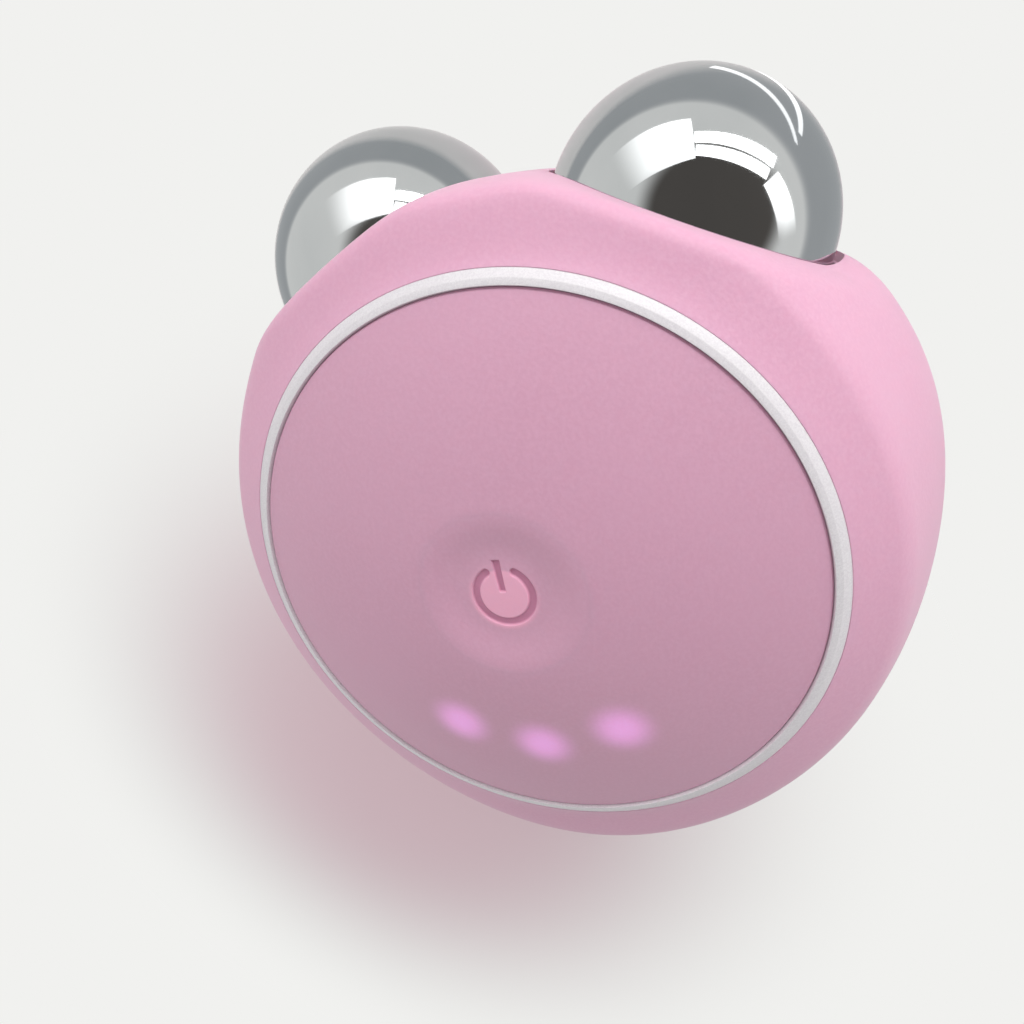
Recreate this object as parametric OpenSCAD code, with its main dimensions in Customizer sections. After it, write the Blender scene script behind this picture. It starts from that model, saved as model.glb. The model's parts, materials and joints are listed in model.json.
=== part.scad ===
// Facial toning device: a round pebble of soft silicone over a rigid two-piece case, lying on its back.
// +Z is the way the face looks, +Y is towards the two balls, +X is to the right of the face.
// The origin is the middle of the small flat on the back, which the device rests on.

/* [Body] */
// Largest radius of the silicone body, which is half its width
body_r = 31.9; // [31.6:0.1:32.4]
// Extra length of the body on the side towards the balls
stretch_up = 0.9; // [0.4:0.1:1.1]
// Extra length of the body on the side towards the charging jack
stretch_down = 1.1; // [0.9:0.1:1.4]
// Height of the body's widest line above the rest flat
mid_z = 18; // [17.5:0.1:18.5]
// Height of the trim ring's outer edge above the rest flat
face_z = 35.5; // [35:0.1:36.5]
// Radius of the round edge between the front band and the side wall, before it is softened
shoulder_r = 29.2; // [28.9:0.1:29.5]
// Height of that edge
shoulder_z = 32.7; // [32.4:0.1:33]
// Radius of the flat that the device rests on
rest_flat_r = 9; // [7:0.5:11]
// Thickness of the silicone sleeve
skin_t = 1.8; // [1.6:0.1:2]
// Wall thickness of the rigid case
case_t = 1.5; // [1.3:0.1:1.7]

/* [Face] */
// Outer radius of the white trim ring
ring_r = 25; // [24.5:0.1:25.1]
// Radius of the domed silicone pad
pad_r = 23.6; // [23.4:0.1:23.7]
// Height of the pad's edge above the ring's outer edge
pad_edge_rise = 0.8; // [0.6:0.1:1]
// Height of the pad's crown above the ring's outer edge
pad_crown = 6.2; // [5.8:0.1:6.6]
// Thickness of the pad's membrane
pad_t = 1.8; // [1.6:0.1:2]
// Distance of the three indicator lights from the middle of the face
lights_r = 13.75; // [13:0.25:14.5]
// Angle from one indicator light to the next
lights_step = 31; // [28:1:34]

/* [Power key] */
// Radius of the key, which is also the radius of its dimple
key_r = 6.9; // [6.5:0.1:7.2]
// Distance of the key above the middle of the face
key_y = 1.35; // [0:0.05:2]
// Depth of the dimple in the middle of the key
dimple_depth = 0.93; // [0.6:0.01:1.1]
// Outer radius of the engraved power symbol
icon_r = 2.6; // [2.3:0.1:2.9]
// Width of the symbol's line
icon_line = 0.62; // [0.5:0.02:0.8]

/* [Balls] */
// Radius of each ball
ball_r = 12; // [11.8:0.05:12.1]
// Distance of each ball's middle from the centre line
ball_x = 13.3; // [13.2:0.05:13.6]
// Distance of each ball's middle from the middle of the face
ball_y = 23.5; // [23:0.1:24]
// Height of each ball's middle above the rest flat
ball_z = 17.4; // [17:0.1:18]
// Angle that each ball's stud leans outwards
ball_lean = 25.8; // [24:0.1:28]
// Angle that each ball's stud dips towards the back
ball_dip = 4.6; // [0:0.1:6]
// Height of the pocket's rim beyond the ball's middle
rim_rise = 0.75; // [0.4:0.05:1]
// Angle that the pocket's rim leans forwards of the stud's square plane
rim_tilt = 3.6; // [3:0.1:4]
// Distance of the saddle between the pockets above the middle of the face, at the rest flat
saddle_y = 28.6; // [28.3:0.1:29.2]
// Angle that the saddle leans forwards
saddle_tilt = 3.8; // [2:0.1:5]
// Gap between a ball and its pocket
ball_gap = 0.35; // [0.3:0.05:0.4]

/* [Inside] */
// Height of the underside of the circuit board
board_z = 26; // [25.8:0.1:26.2]
// Radius of the circuit board
board_r = 24.5; // [24:0.1:25]
// Height of the charging jack's axis
jack_z = 12.5; // [12.3:0.1:12.7]
// Radius of the charging jack's bore
jack_bore_r = 1.25; // [1.2:0.05:1.4]
// Depth of the charging jack's bore
jack_bore_l = 9; // [8.5:0.1:9.2]
// Height of the vibration motor's axis
motor_z = 6.9; // [6.8:0.1:7]
// Radius of the vibration motor's can
motor_r = 3; // [2.9:0.05:3.1]

/* [Hidden] */
$fn = 96;

pink = [0.90, 0.66, 0.76];
pad_pink = [0.82, 0.60, 0.69];
pearl = [0.95, 0.94, 0.94];
steel = [0.78, 0.79, 0.80];
case_white = [0.88, 0.88, 0.86];
brass_gold = [0.80, 0.66, 0.36];

fit = 0.1;                     // gap between parts that are laid against each other
cut = 60;                      // length of a cutter that runs right out of the body
opening_r = ring_r + 0.25;     // the sleeve's front opening, with the dark line round the ring

// ---- outline of the body ----
wall_drop = body_r - shoulder_r;
wall_steps = 7;
shoulder_steps = 8;
back_steps = 18;
wall_top = 30;               // where the side wall turns into the soft edge
band_part = 0.65;              // share of the front band that stays straight

function wall_radius(z) = body_r - wall_drop * pow((z - mid_z) / (shoulder_z - mid_z), 2);
function bend(a, b, c, t) = a * pow(1 - t, 2) + b * 2 * t * (1 - t) + c * t * t;
lip_start = [opening_r - stretch_down, face_z + 0.2];
lip_end = [opening_r, face_z - 0.1];
band_end = [opening_r, face_z] * (1 - band_part) + [shoulder_r, shoulder_z] * band_part;
outline = concat(
    [lip_start, lip_end],
    [for (i = [0:shoulder_steps])
        bend(band_end, [shoulder_r, shoulder_z], [wall_radius(wall_top), wall_top],
             i / shoulder_steps)],
    [for (i = [1:wall_steps])
        let (z = wall_top + (mid_z - wall_top) * i / wall_steps) [wall_radius(z), z]],
    [for (i = [1:back_steps])
        let (a = 90 * i / back_steps)
        [rest_flat_r + (body_r - rest_flat_r) * cos(a), mid_z * (1 - sin(a))]]);

// A profile carried round the body: two half turns, set apart, with a straight stretch between
module oblong() {
    translate([0, stretch_up, 0]) rotate_extrude(angle = 180) children();
    translate([0, -stretch_down, 0]) rotate([0, 0, 180]) rotate_extrude(angle = 180) children();
    for (side = [0, 1]) translate([0, stretch_up, 0]) mirror([side, 0, 0])
        rotate([90, 0, 0]) linear_extrude(height = stretch_up + stretch_down) children();
}

// Each point of the outline moves inwards, square to the outline there
function inset(p, d) = [for (i = [0:len(p) - 1])
    let (v = p[min(i + 1, len(p) - 1)] - p[max(i - 1, 0)]) p[i] + [v[1], -v[0]] / norm(v) * d];
function closed(p) = concat([[0, p[0][1]]], p, [[0, p[len(p) - 1][1]]]);

// ---- the pad's dome ----
dome_steps = 12;
function dome(r) = face_z + pad_edge_rise + (pad_crown - pad_edge_rise) * (1 - pow(r / pad_r, 2));
function dome_line(r, drop) = [for (i = [0:dome_steps])
    let (x = r * i / dome_steps) [x, dome(x) - drop]];

// ---- heights of the stack behind the face ----
plate_drop = pad_t + fit;      // the face plate's dome follows the pad's underside
plate_t = 1.4;
plate_r = 21.4;
flange_z = 31.2;               // underside of the face plate's flange
flange_r = 22.9;
collar_r = 23;                 // inside of the case's front collar
collar_top = 32.3;
ledge_z = 29.9;                // ledge in the front case that carries the face plate
ledge_r = 21;
key_hole_r = key_r + 0.25;
key_floor = dome(0) - 2.4;     // underside of the silicone key
plunger_t = 1.25;
stem_r = 1.7;
well_floor = 37;
guide_bottom = 33;
board_t = 1;
board_top = board_z + board_t;
switch_top = board_top + 2.4;
switch_stem_r = 1.5;
switch_gap = 0.05;             // between the plunger and the switch's stem
stem_top = switch_top + 0.55;

// ---- screws and bosses ----
boss_r = 2.6;
boss_orbit = 26.4;
boss_angles = [5, 175, -34, -146];
case_screw_r = 1;
case_screw_head = 13.4;        // height of the underside of each case screw's head
case_screw_tip = 22.5;
board_boss_orbit = 21.5;
board_boss_angles = [-22, -90, -158];
board_screw_r = 0.8;

// ---- ball fittings, along the axis of each ball, 0 at the ball's middle ----
pocket_r = ball_r + ball_gap;
cup_share = 0.75;              // thickness of a pocket's wall as a share of the skin's
stud_r = 2;
seat_r = 3.6;
seat_flange_z = -16.2;
seat_flange_r = 5.2;
tab_z = -17.75;
nut_t = 2.4;

// ---- battery, motor and jack ----
battery_size = [30, 20, 6.5];
battery_at = [0, -9, 12];
motor_y = -9;
motor_x = [-9, 3];
shaft_r = 0.5;
weight_r = 2.8;
weight_x = [4.6, 8.4];
jack_mouth = -31.6;
jack_r = 3.2;
jack_flange_r = 4.6;
jack_wall_y = -25;             // flat inside the rear case that the jack is drawn against
jack_flange_y = -24.3;
wire_r = 0.45;

// ---- frames ----
module on_ball_axis(side) {
    translate([side * ball_x, ball_y, ball_z])
        rotate([0, 0, -side * ball_lean])
            rotate([-(90 + ball_dip), 0, 0]) children();
}
module along_y(y, z) translate([0, y, z]) rotate([-90, 0, 0]) children();
module along_x(x, y, z) translate([x, y, z]) rotate([0, 90, 0]) children();
module around(angles, orbit, z) for (a = angles) translate([orbit * cos(a), orbit * sin(a), z]) children();

module tube(outer, inner, h) {
    difference() {
        cylinder(r = outer, h = h);
        translate([0, 0, -1]) cylinder(r = inner, h = h + 2);
    }
}

// Takes the saddle between the balls and both pockets out of a solid; both grow as d does
module pocketed(d) difference() {
    children();
    translate([0, saddle_y - d, 0]) rotate([-saddle_tilt, 0, 0]) translate([-cut / 2, 0, -cut / 2]) cube(cut);
    for (side = [-1, 1]) translate([side * ball_x, ball_y, ball_z])
        rotate([90, 0, 0]) sphere(r = pocket_r + d * cup_share);
}
// The outside of the body, with a flat rim round each pocket, and a round form that lies d inside it
module body_form() difference() {
    pocketed(0) oblong() polygon(closed(outline));
    for (side = [-1, 1]) on_ball_axis(side)
        rotate([-rim_tilt, 0, 0]) translate([-cut / 2, -cut / 2, rim_rise]) cube(cut);
}
module inner_form(d) pocketed(d) rotate_extrude() polygon(closed(inset(outline, d)));

// ---- silicone sleeve ----
module silicone_sleeve() color(pink) {
    difference() {
        body_form();
        inner_form(skin_t);
        translate([0, 0, ledge_z]) cylinder(r = opening_r, h = cut);
        for (side = [-1, 1]) on_ball_axis(side)
            translate([0, 0, -pocket_r - skin_t - 1]) cylinder(r = 5, h = 4.5);
        along_y(-cut, jack_z) cylinder(r = jack_r + fit, h = cut + jack_wall_y);
    }
}

// ---- trim ring: a band that falls outwards and turns over a bright bevel ----
ring_in = pad_r + 0.15;
module trim_ring() color(pearl) rotate_extrude() polygon([
    [ring_in - 1.5, collar_top + 0.05], [ring_r, collar_top + 0.05], [ring_r, face_z - 0.1],
    [ring_r - 0.08, face_z + 0.12], [ring_r - 0.42, face_z + 0.42], [ring_in + 0.15, face_z + 0.68],
    [ring_in, face_z + 0.6], [ring_in, collar_top + 0.8], [ring_in - 1.5, collar_top + 0.8]]);

// ---- domed silicone pad ----
pad_foot = collar_top + 0.9;
module face_pad() color(pad_pink) difference() {
    rotate_extrude() polygon(concat(
        dome_line(pad_r - 0.5, 0), [[pad_r - 0.15, dome(pad_r) - 0.12], [pad_r, dome(pad_r) - 0.5]],
        [[pad_r, pad_foot], [plate_r + fit, pad_foot]],
        [for (i = [0:dome_steps])
            let (x = (plate_r + fit) * (1 - i / dome_steps)) [x, dome(x) - pad_t]]));
    translate([0, key_y, face_z]) cylinder(r = key_hole_r, h = cut);
}

// ---- power key: the dimpled middle of the pad, with the power symbol pressed in ----
dimple_curve_r = (pow(key_r, 2)) / (2 * dimple_depth)
    / (1 - pow(key_r, 2) * (pad_crown - pad_edge_rise) / pow(pad_r, 2) / dimple_depth);
icon_depth = 0.35;
icon_gap = 30;
icon_bar = [0.4, 3];
module power_symbol(h) {
    rotate([0, 0, 90 + icon_gap]) rotate_extrude(angle = 360 - 2 * icon_gap)
        translate([icon_r - icon_line, 0]) square([icon_line, h]);
    translate([-icon_line / 2, icon_bar[0], 0]) cube([icon_line, icon_bar[1] - icon_bar[0], h]);
}
module power_key() color(pad_pink) difference() {
    intersection() {
        rotate_extrude() polygon(concat(dome_line(key_r + 3, 0),
            [[key_r + 3, key_floor], [0, key_floor]]));
        translate([0, key_y, face_z]) cylinder(r = key_r, h = cut);
    }
    translate([0, key_y, dome(key_y) - dimple_depth + dimple_curve_r])
        sphere(r = dimple_curve_r, $fn = 200);
    translate([0, key_y, dome(key_y) - dimple_depth - icon_depth]) power_symbol(3);
}

// ---- rigid plunger under the key ----
module key_plunger() color(case_white) translate([0, key_y, 0]) {
    translate([0, 0, key_floor - 0.02 - plunger_t]) cylinder(r = key_r - 0.3, h = plunger_t);
    translate([0, 0, stem_top + switch_gap])
        cylinder(r = stem_r, h = key_floor - plunger_t - stem_top);
}

// ---- rigid face plate under the pad ----
module face_plate() color(case_white) difference() {
    union() {
        rotate_extrude() polygon(concat(
            dome_line(plate_r, plate_drop), [[plate_r, collar_top - fit], [flange_r, collar_top - fit]],
            [[flange_r, flange_z], [plate_r - plate_t, flange_z]],
            [for (i = [0:dome_steps])
                let (x = (plate_r - plate_t) * (1 - i / dome_steps)) [x, dome(x) - plate_drop - plate_t]]));
        translate([0, key_y, well_floor - 1.2])
            cylinder(r = key_hole_r + 1.25, h = dome(key_hole_r + 3) - plate_drop - well_floor + 1.2);
        translate([0, key_y, guide_bottom]) cylinder(r = stem_r + 1.4, h = well_floor - guide_bottom);
    }
    translate([0, key_y, well_floor]) cylinder(r = key_hole_r, h = cut);
    translate([0, key_y, guide_bottom - 1]) cylinder(r = stem_r + 0.08, h = cut);
    around([-90 - lights_step, -90, -90 + lights_step], lights_r, guide_bottom)
        cylinder(r = guide_r + fit, h = cut);
}

// ---- rigid case in two halves ----
module case_form() difference() {
    inner_form(skin_t + fit);
    for (side = [-1, 1]) on_ball_axis(side) translate([0, 0, -cut]) cylinder(r = seat_r + 0.05, h = cut);
}
module seat_bosses() for (side = [-1, 1]) on_ball_axis(side)
    translate([0, 0, seat_flange_z + 0.05]) cylinder(r = seat_flange_r + 0.4, h = 3.2);

module front_case() color(case_white) difference() {
    intersection() {
        case_form();
        union() {
            difference() {
                translate([0, 0, mid_z + 0.05]) cylinder(r = cut, h = collar_top - mid_z - 0.05);
                intersection() {
                    inner_form(skin_t + fit + case_t);
                    cylinder(r = cut, h = ledge_z);
                }
            }
            around(boss_angles, boss_orbit, mid_z + 0.05) cylinder(r = boss_r, h = 6);
            around(board_boss_angles, board_boss_orbit, board_top + 0.05)
                cylinder(r = 2, h = ledge_z - board_top);
            intersection() {
                seat_bosses();
                translate([-cut / 2, -cut / 2, mid_z + 0.05]) cube(cut);
            }
        }
    }
    translate([0, 0, ledge_z - 1]) cylinder(r = ledge_r, h = cut);
    translate([0, 0, flange_z - fit]) cylinder(r = collar_r, h = cut);
    around(boss_angles, boss_orbit, mid_z - 1) cylinder(r = case_screw_r, h = case_screw_tip - mid_z + 1);
    around(board_boss_angles, board_boss_orbit, board_top) cylinder(r = board_screw_r, h = 2.5);
    gasket_ring(0.05);
}

module rear_case() color(case_white) difference() {
    intersection() {
        case_form();
        union() {
            difference() {
                cylinder(r = cut, h = mid_z - 0.05);
                inner_form(skin_t + fit + case_t);
            }
            around(boss_angles, boss_orbit, 0) cylinder(r = boss_r, h = mid_z - 0.05);
            intersection() {
                seat_bosses();
                translate([-cut / 2, -cut / 2, 0]) cube([cut, cut, mid_z - 0.05]);
            }
            along_y(-cut / 2, jack_z) cylinder(r = jack_flange_r + 0.8, h = cut / 2 + jack_wall_y);
        }
    }
    around(boss_angles, boss_orbit, -1) cylinder(r = case_screw_r + fit, h = mid_z + 2);
    around(boss_angles, boss_orbit, -1) cylinder(r = 2.1, h = case_screw_head + 1);
    along_y(-cut, jack_z) cylinder(r = jack_r + fit, h = cut);
    along_y(jack_wall_y, jack_z) cylinder(r = jack_flange_r + fit, h = 8);
    gasket_ring(0.05);
}

gasket_start = 153;
gasket_sweep = 234;
gasket_mid_r = body_r - skin_t - fit - case_t / 2;
module gasket_ring(d) rotate([0, 0, gasket_start - d]) rotate_extrude(angle = gasket_sweep + 2 * d)
    translate([gasket_mid_r - 0.35 - d, mid_z - 0.5 - d]) square([0.7 + 2 * d, 1 + 2 * d]);
module case_gasket() color("dimgray") gasket_ring(0);

module screw(r, head_r, head_h, length) {
    difference() {
        translate([0, 0, -head_h]) cylinder(r = head_r, h = head_h);
        translate([0, 0, -head_h - 0.01]) cylinder(r = r * 0.75, h = head_h * 0.6, $fn = 6);
    }
    cylinder(r = r, h = length);
}
module case_screws() color(steel) around(boss_angles, boss_orbit, case_screw_head)
    screw(case_screw_r, 2, 1.5, case_screw_tip - case_screw_head - 0.5);

// ---- one ball with its fittings ----
module ball(side) color(steel) on_ball_axis(side) difference() {
    sphere(r = ball_r);
    difference() {
        sphere(r = ball_r - 1.2);
        translate([0, 0, -ball_r]) cylinder(r = 4, h = 5);
    }
    translate([0, 0, -ball_r - 1]) cylinder(r = stud_r + 0.03, h = 5.2);
}
module ball_stud(side) color(steel) on_ball_axis(side)
    translate([0, 0, -21.5]) cylinder(r = stud_r, h = 21.5 - 8.2);
module ball_seat(side) color("ivory") on_ball_axis(side) difference() {
    union() {
        translate([0, 0, -17.3]) cylinder(r = seat_flange_r, h = seat_flange_z + 17.3);
        translate([0, 0, -17.3]) cylinder(r = seat_r, h = 17.3 - 12.5);
    }
    translate([0, 0, -18]) cylinder(r = stud_r + 0.05, h = 7);
}
module ball_seal(side) color("dimgray") on_ball_axis(side)
    translate([0, 0, -12.42]) rotate_extrude() translate([4.4, 0]) circle(r = 0.58, $fn = 24);
module stud_nut(side) color(brass_gold) on_ball_axis(side) translate([0, 0, tab_z - 0.05 - nut_t])
    difference() {
        cylinder(r = 3.4, h = nut_t, $fn = 6);
        translate([0, 0, -1]) cylinder(r = stud_r + 0.03, h = nut_t + 2);
    }
module contact_tab(side) color(brass_gold) on_ball_axis(side) translate([0, 0, tab_z]) difference() {
    union() {
        cylinder(r = 3.3, h = 0.4);
        translate([-1, -6.2, 0]) cube([2, 4, 0.4]);
    }
    translate([0, 0, -1]) cylinder(r = stud_r + 0.05, h = 2);
}

// ---- wires: a round tube carried along a smooth path through the given points ----
wire_sides = 8;
wire_steps = 4;
function curve_point(a, b, c, d, t) = (b * 2 + (c - a) * t + (a * 2 - b * 5 + c * 4 - d) * t * t
    + (b * 3 - a - c * 3 + d) * pow(t, 3)) / 2;
function smooth(p) = concat([for (i = [0:len(p) - 2], k = [0:wire_steps - 1])
    curve_point(p[max(i - 1, 0)], p[i], p[i + 1], p[min(i + 2, len(p) - 1)], k / wire_steps)],
    [p[len(p) - 1]]);
function unit(v) = v / norm(v);
module wire(points, r, up) {
    path = smooth(points);
    n = len(path);
    rings = [for (i = [0:n - 1])
        let (t = unit(path[min(i + 1, n - 1)] - path[max(i - 1, 0)]),
             u = unit(cross(up, t)), w = cross(t, u))
        for (k = [0:wire_sides - 1])
            path[i] + (u * cos(360 * k / wire_sides) + w * sin(360 * k / wire_sides)) * r];
    sides = [for (i = [0:n - 2], k = [0:wire_sides - 1])
        let (a = i * wire_sides + k, b = i * wire_sides + (k + 1) % wire_sides)
        for (face = [[a, a + wire_sides, b + wire_sides], [a, b + wire_sides, b]]) face];
    caps = [[for (k = [0:wire_sides - 1]) k],
            [for (k = [wire_sides - 1:-1:0]) (n - 1) * wire_sides + k]];
    polyhedron(points = rings, faces = concat(sides, caps), convexity = 6);
}
module ball_lead(side) color(side < 0 ? "black" : "firebrick")
    wire([[side * 5.57, 7.51, 24.25], [side * 5.2, 6.7, 24.3], [side * 5.3, 5.9, 24.7],
          [side * 5.4, 5.6, 25.3], [side * 5.4, 5.6, board_z - 0.1]], wire_r, [1, 0, 0]);

// ---- circuit board and what it carries ----
module main_board() color("darkgreen") difference() {
    translate([0, 0, board_z]) cylinder(r = board_r, h = board_t);
    for (side = [-1, 1]) translate([side * ball_x, ball_y, 0]) cylinder(r = 14.2, h = cut);
    around(board_boss_angles, board_boss_orbit, board_z - 1) cylinder(r = board_screw_r + fit, h = 3);
}
module board_chips() color("black") for (chip = [[-9, -4, 6, 6], [4, -8, 5, 4], [-2, -17, 7, 4]])
    translate([chip[0], chip[1], board_z - 1.3]) cube([chip[2], chip[3], 1.25]);
module board_screws() color(steel) around(board_boss_angles, board_boss_orbit, board_z - 0.05)
    screw(board_screw_r, 1.6, 0.9, board_t + 2);
module at_lights(z) around([-90 - lights_step, -90, -90 + lights_step], lights_r, z) children();
module indicator_lights() color("plum") at_lights(board_top + 0.02)
    translate([-1.4, -1.4, 0]) cube([2.8, 2.8, 1]);

// Three clear posts carry the light up to the underside of the pad, joined by a bar
guide_r = 1.6;
guide_foot = board_top + 1.1;
module light_guide() color("whitesmoke") {
    at_lights(guide_foot) cylinder(r = guide_r, h = dome(lights_r + guide_r) - pad_t - fit - guide_foot);
    rotate([0, 0, -90 - lights_step]) rotate_extrude(angle = 2 * lights_step)
        translate([lights_r - 0.7, guide_foot + 1]) square([1.4, 1.4]);
}
module switch_body() color("dimgray") difference() {
    translate([-3, key_y - 3, board_top + 0.02]) cube([6, 6, switch_top - board_top - 0.02]);
    translate([0, key_y, board_top + 0.6]) cylinder(r = switch_stem_r + 0.08, h = 5);
}
module switch_stem() color("black") translate([0, key_y, board_top + 1.1])
    cylinder(r = switch_stem_r, h = stem_top - board_top - 1.1);

// ---- battery ----
module soft_block(size, corner) linear_extrude(height = size[2]) {
    square([size[0] - 2 * corner, size[1]], center = true);
    square([size[0], size[1] - 2 * corner], center = true);
    for (x = [-1, 1], y = [-1, 1])
        translate([x * (size[0] / 2 - corner), y * (size[1] / 2 - corner)]) circle(r = corner);
}
module battery_cell() color("silver") translate(battery_at) soft_block(battery_size, 2);
module battery_cushion() color("gray") translate(battery_at - [0, 0, 1.25])
    soft_block([26, 16, 1.2], 1);
module battery_leads() for (x = [-1, 1]) color(x < 0 ? "black" : "firebrick")
    wire([[x * 1.6, 1.15, 16.5], [x * 1.6, 1.7, 16.6], [x * 1.7, 2.2, 18], [x * 1.8, 2.2, 22],
          [x * 1.8, 2.2, board_z - 0.1]], wire_r, [1, 0, 0]);

// ---- vibration motor ----
module motor_can() color(steel) along_x(motor_x[0], motor_y, motor_z) difference() {
    cylinder(r = motor_r, h = motor_x[1] - motor_x[0]);
    translate([0, 0, 1]) cylinder(r = 1.3, h = motor_x[1] - motor_x[0]);
}
module motor_bush() color(brass_gold) along_x(motor_x[1] - 2, motor_y, motor_z)
    tube(1.25, shaft_r + 0.05, 2.2);
module motor_shaft() color(steel) along_x(motor_x[0] + 3, motor_y, motor_z)
    cylinder(r = shaft_r, h = weight_x[1] - motor_x[0] - 3);
module motor_weight() color("slategray") difference() {
    along_x(weight_x[0], motor_y, motor_z) cylinder(r = weight_r, h = weight_x[1] - weight_x[0]);
    along_x(weight_x[0] - 1, motor_y, motor_z) cylinder(r = shaft_r + 0.02, h = 6);
    translate([weight_x[0] - 1, motor_y - 5, motor_z + 0.9]) cube([6, 10, 5]);
}
module motor_cradle() color("dimgray") difference() {
    intersection() {
        translate([motor_x[0] - 0.5, motor_y - 4.2, 3]) cube([11.5, 8.4, 7.6]);
        inner_form(skin_t + fit + case_t + 0.05);
    }
    along_x(-cut / 2, motor_y, motor_z) cylinder(r = motor_r + 0.03, h = cut);
}
module motor_leads() for (k = [0, 1]) color(k == 0 ? "royalblue" : "firebrick")
    wire([[motor_x[0] - 0.1, motor_y + 1.6 * k - 0.8, motor_z], [-11, motor_y + 1.6 * k - 0.8, 7.1],
          [-15, -7.5 + 1.6 * k, 9], [-17.6, -5 + 1.6 * k, 12], [-18.2, -4 + 1.6 * k, 17],
          [-18.2, -4 + 1.6 * k, board_z - 0.1]], wire_r, [0, 1, 0]);

// ---- charging jack ----
module jack_shell() color("dimgray") difference() {
    union() {
        along_y(jack_mouth, jack_z) cylinder(r = jack_r, h = jack_bore_l + 0.8);
        along_y(jack_flange_y, jack_z) cylinder(r = jack_flange_r, h = 0.8);
    }
    along_y(jack_mouth, jack_z) cylinder(r = jack_bore_r, h = jack_bore_l);
}
module jack_blades() color(brass_gold) for (x = [-1.6, 1])
    translate([x, jack_mouth + jack_bore_l + 0.85, jack_z - 1.5]) cube([0.6, 1, 3]);
module jack_seal() color("gray") along_y(jack_wall_y + 0.05, jack_z) tube(jack_flange_r, jack_r + 0.05, 0.6);

silicone_sleeve();
trim_ring();
face_pad();
power_key();
key_plunger();
face_plate();
front_case();
rear_case();
case_gasket();
case_screws();
ball(-1);  // left_ball
ball(1);  // right_ball
ball_stud(-1);  // left_ball_stud
ball_stud(1);  // right_ball_stud
ball_seat(-1);  // left_ball_seat
ball_seat(1);  // right_ball_seat
ball_seal(-1);  // left_ball_seal
ball_seal(1);  // right_ball_seal
stud_nut(-1);  // left_stud_nut
stud_nut(1);  // right_stud_nut
contact_tab(-1);  // left_contact_tab
contact_tab(1);  // right_contact_tab
ball_lead(-1);  // left_ball_lead
ball_lead(1);  // right_ball_lead
main_board();
board_chips();
board_screws();
indicator_lights();
light_guide();
switch_body();
switch_stem();
battery_cell();
battery_cushion();
battery_leads();
motor_can();
motor_bush();
motor_shaft();
motor_weight();
motor_cradle();
motor_leads();
jack_shell();
jack_blades();
jack_seal();
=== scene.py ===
"""Facial toning device: a palm-sized silicone body with two chromed balls, a domed pad with a power key,
three lights behind the pad and a white ring. Run as a script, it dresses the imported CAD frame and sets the
stage. The object lies on its back: +Z is out of the face, +Y is towards the balls. Shapes are worked out
in millimetres."""

import json
import math

import bpy
import numpy as np
from bpy.props import FloatProperty, FloatVectorProperty, PointerProperty
from mathutils import Matrix, Quaternion, Vector


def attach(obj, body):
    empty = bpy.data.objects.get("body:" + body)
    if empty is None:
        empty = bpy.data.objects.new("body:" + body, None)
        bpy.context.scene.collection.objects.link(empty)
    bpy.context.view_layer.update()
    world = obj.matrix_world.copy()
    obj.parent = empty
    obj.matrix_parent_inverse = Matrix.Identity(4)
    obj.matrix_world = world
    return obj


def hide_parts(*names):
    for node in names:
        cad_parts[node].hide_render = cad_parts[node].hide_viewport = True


bl_info = {
    "name": "Facial Toning Device",
    "version": (1, 0, 0),
    "blender": (4, 5, 0),
    "location": "View3D > Sidebar > Toning Device",
    "description": "Builds the looks of a two-ball facial toning device round its packed frame",
    "category": "Add Mesh",
}

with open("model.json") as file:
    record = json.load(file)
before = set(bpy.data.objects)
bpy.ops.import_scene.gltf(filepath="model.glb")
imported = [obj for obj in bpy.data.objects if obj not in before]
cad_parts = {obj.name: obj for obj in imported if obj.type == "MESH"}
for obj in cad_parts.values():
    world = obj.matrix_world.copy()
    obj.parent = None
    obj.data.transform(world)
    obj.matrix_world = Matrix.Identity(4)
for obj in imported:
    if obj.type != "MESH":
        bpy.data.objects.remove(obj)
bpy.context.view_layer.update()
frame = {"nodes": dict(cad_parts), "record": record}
MM = 0.001
FACE_COLUMNS = 384  # points round the pad and the key
SMOOTH_ANGLE = 32.0  # edges that turn further than this stay sharp
TINY = 1e-6  # anything smaller counts as nothing
FAR = 9.0  # a share of a point's distance that no plane limits
HOUSING = "housing"
KEY_BODY = "power_key"


# ---- numbers of the form, in millimetres and degrees, as the frame has them ----
STAR_CENTRE = (0.0, 0.0, 17.0)  # every point of the body's outside is seen from here
REST_FLAT = 9.0  # radius of the flat on the back
SKIN = 1.8  # the silicone's thickness
POCKET_SKIN = 2.15  # and behind the balls
LEDGE_Z = 29.9  # floor of the recess under the ring and the pad
LEDGE_WALL = 2.0  # height of the recess's wall that stays plain
LIP_DROP = 0.05  # the lip's height below the ring's outer edge
LIP_ROUND = 0.12
BAND_SHARE = 0.78  # how far the straight front band goes from the lip to the edge
WALL_TOP = 31.2  # where the rounded edge ends on the side wall
BALL_CENTRE = (13.3, 23.5, 17.4)  # the right ball's, and the left one mirrors it
BALL_LEAN = 25.8  # how far the stud's axis turns out to the side
BALL_DIP = 4.6  # and down
RIM_TILT = 2.5  # how much further down a pocket's rim faces than the stud's axis
RIM_LEAN = 1.4  # and further out
RIM_RISE = 0.6  # the rim's plane above the ball's centre
MOUTH_START = -15.0  # a pocket widens from this angle below its rim's plane
MOUTH_SPAN = 14.0  # over this many degrees
POCKET_RUN = 14.0  # length of a pocket's cutter beyond its rim
EAR_BEARING = 35.0  # angle past the side of the ear, a rim's raised outer end
EAR_REACH = 8.0
EAR_FADE = (17.0, 7.0)  # the height where the ear starts to fade, and over how much
BALL_BEARING = 60.5  # angle past the side of the brow, a swelling before the ball
BROW_REACH = 16.0
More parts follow.
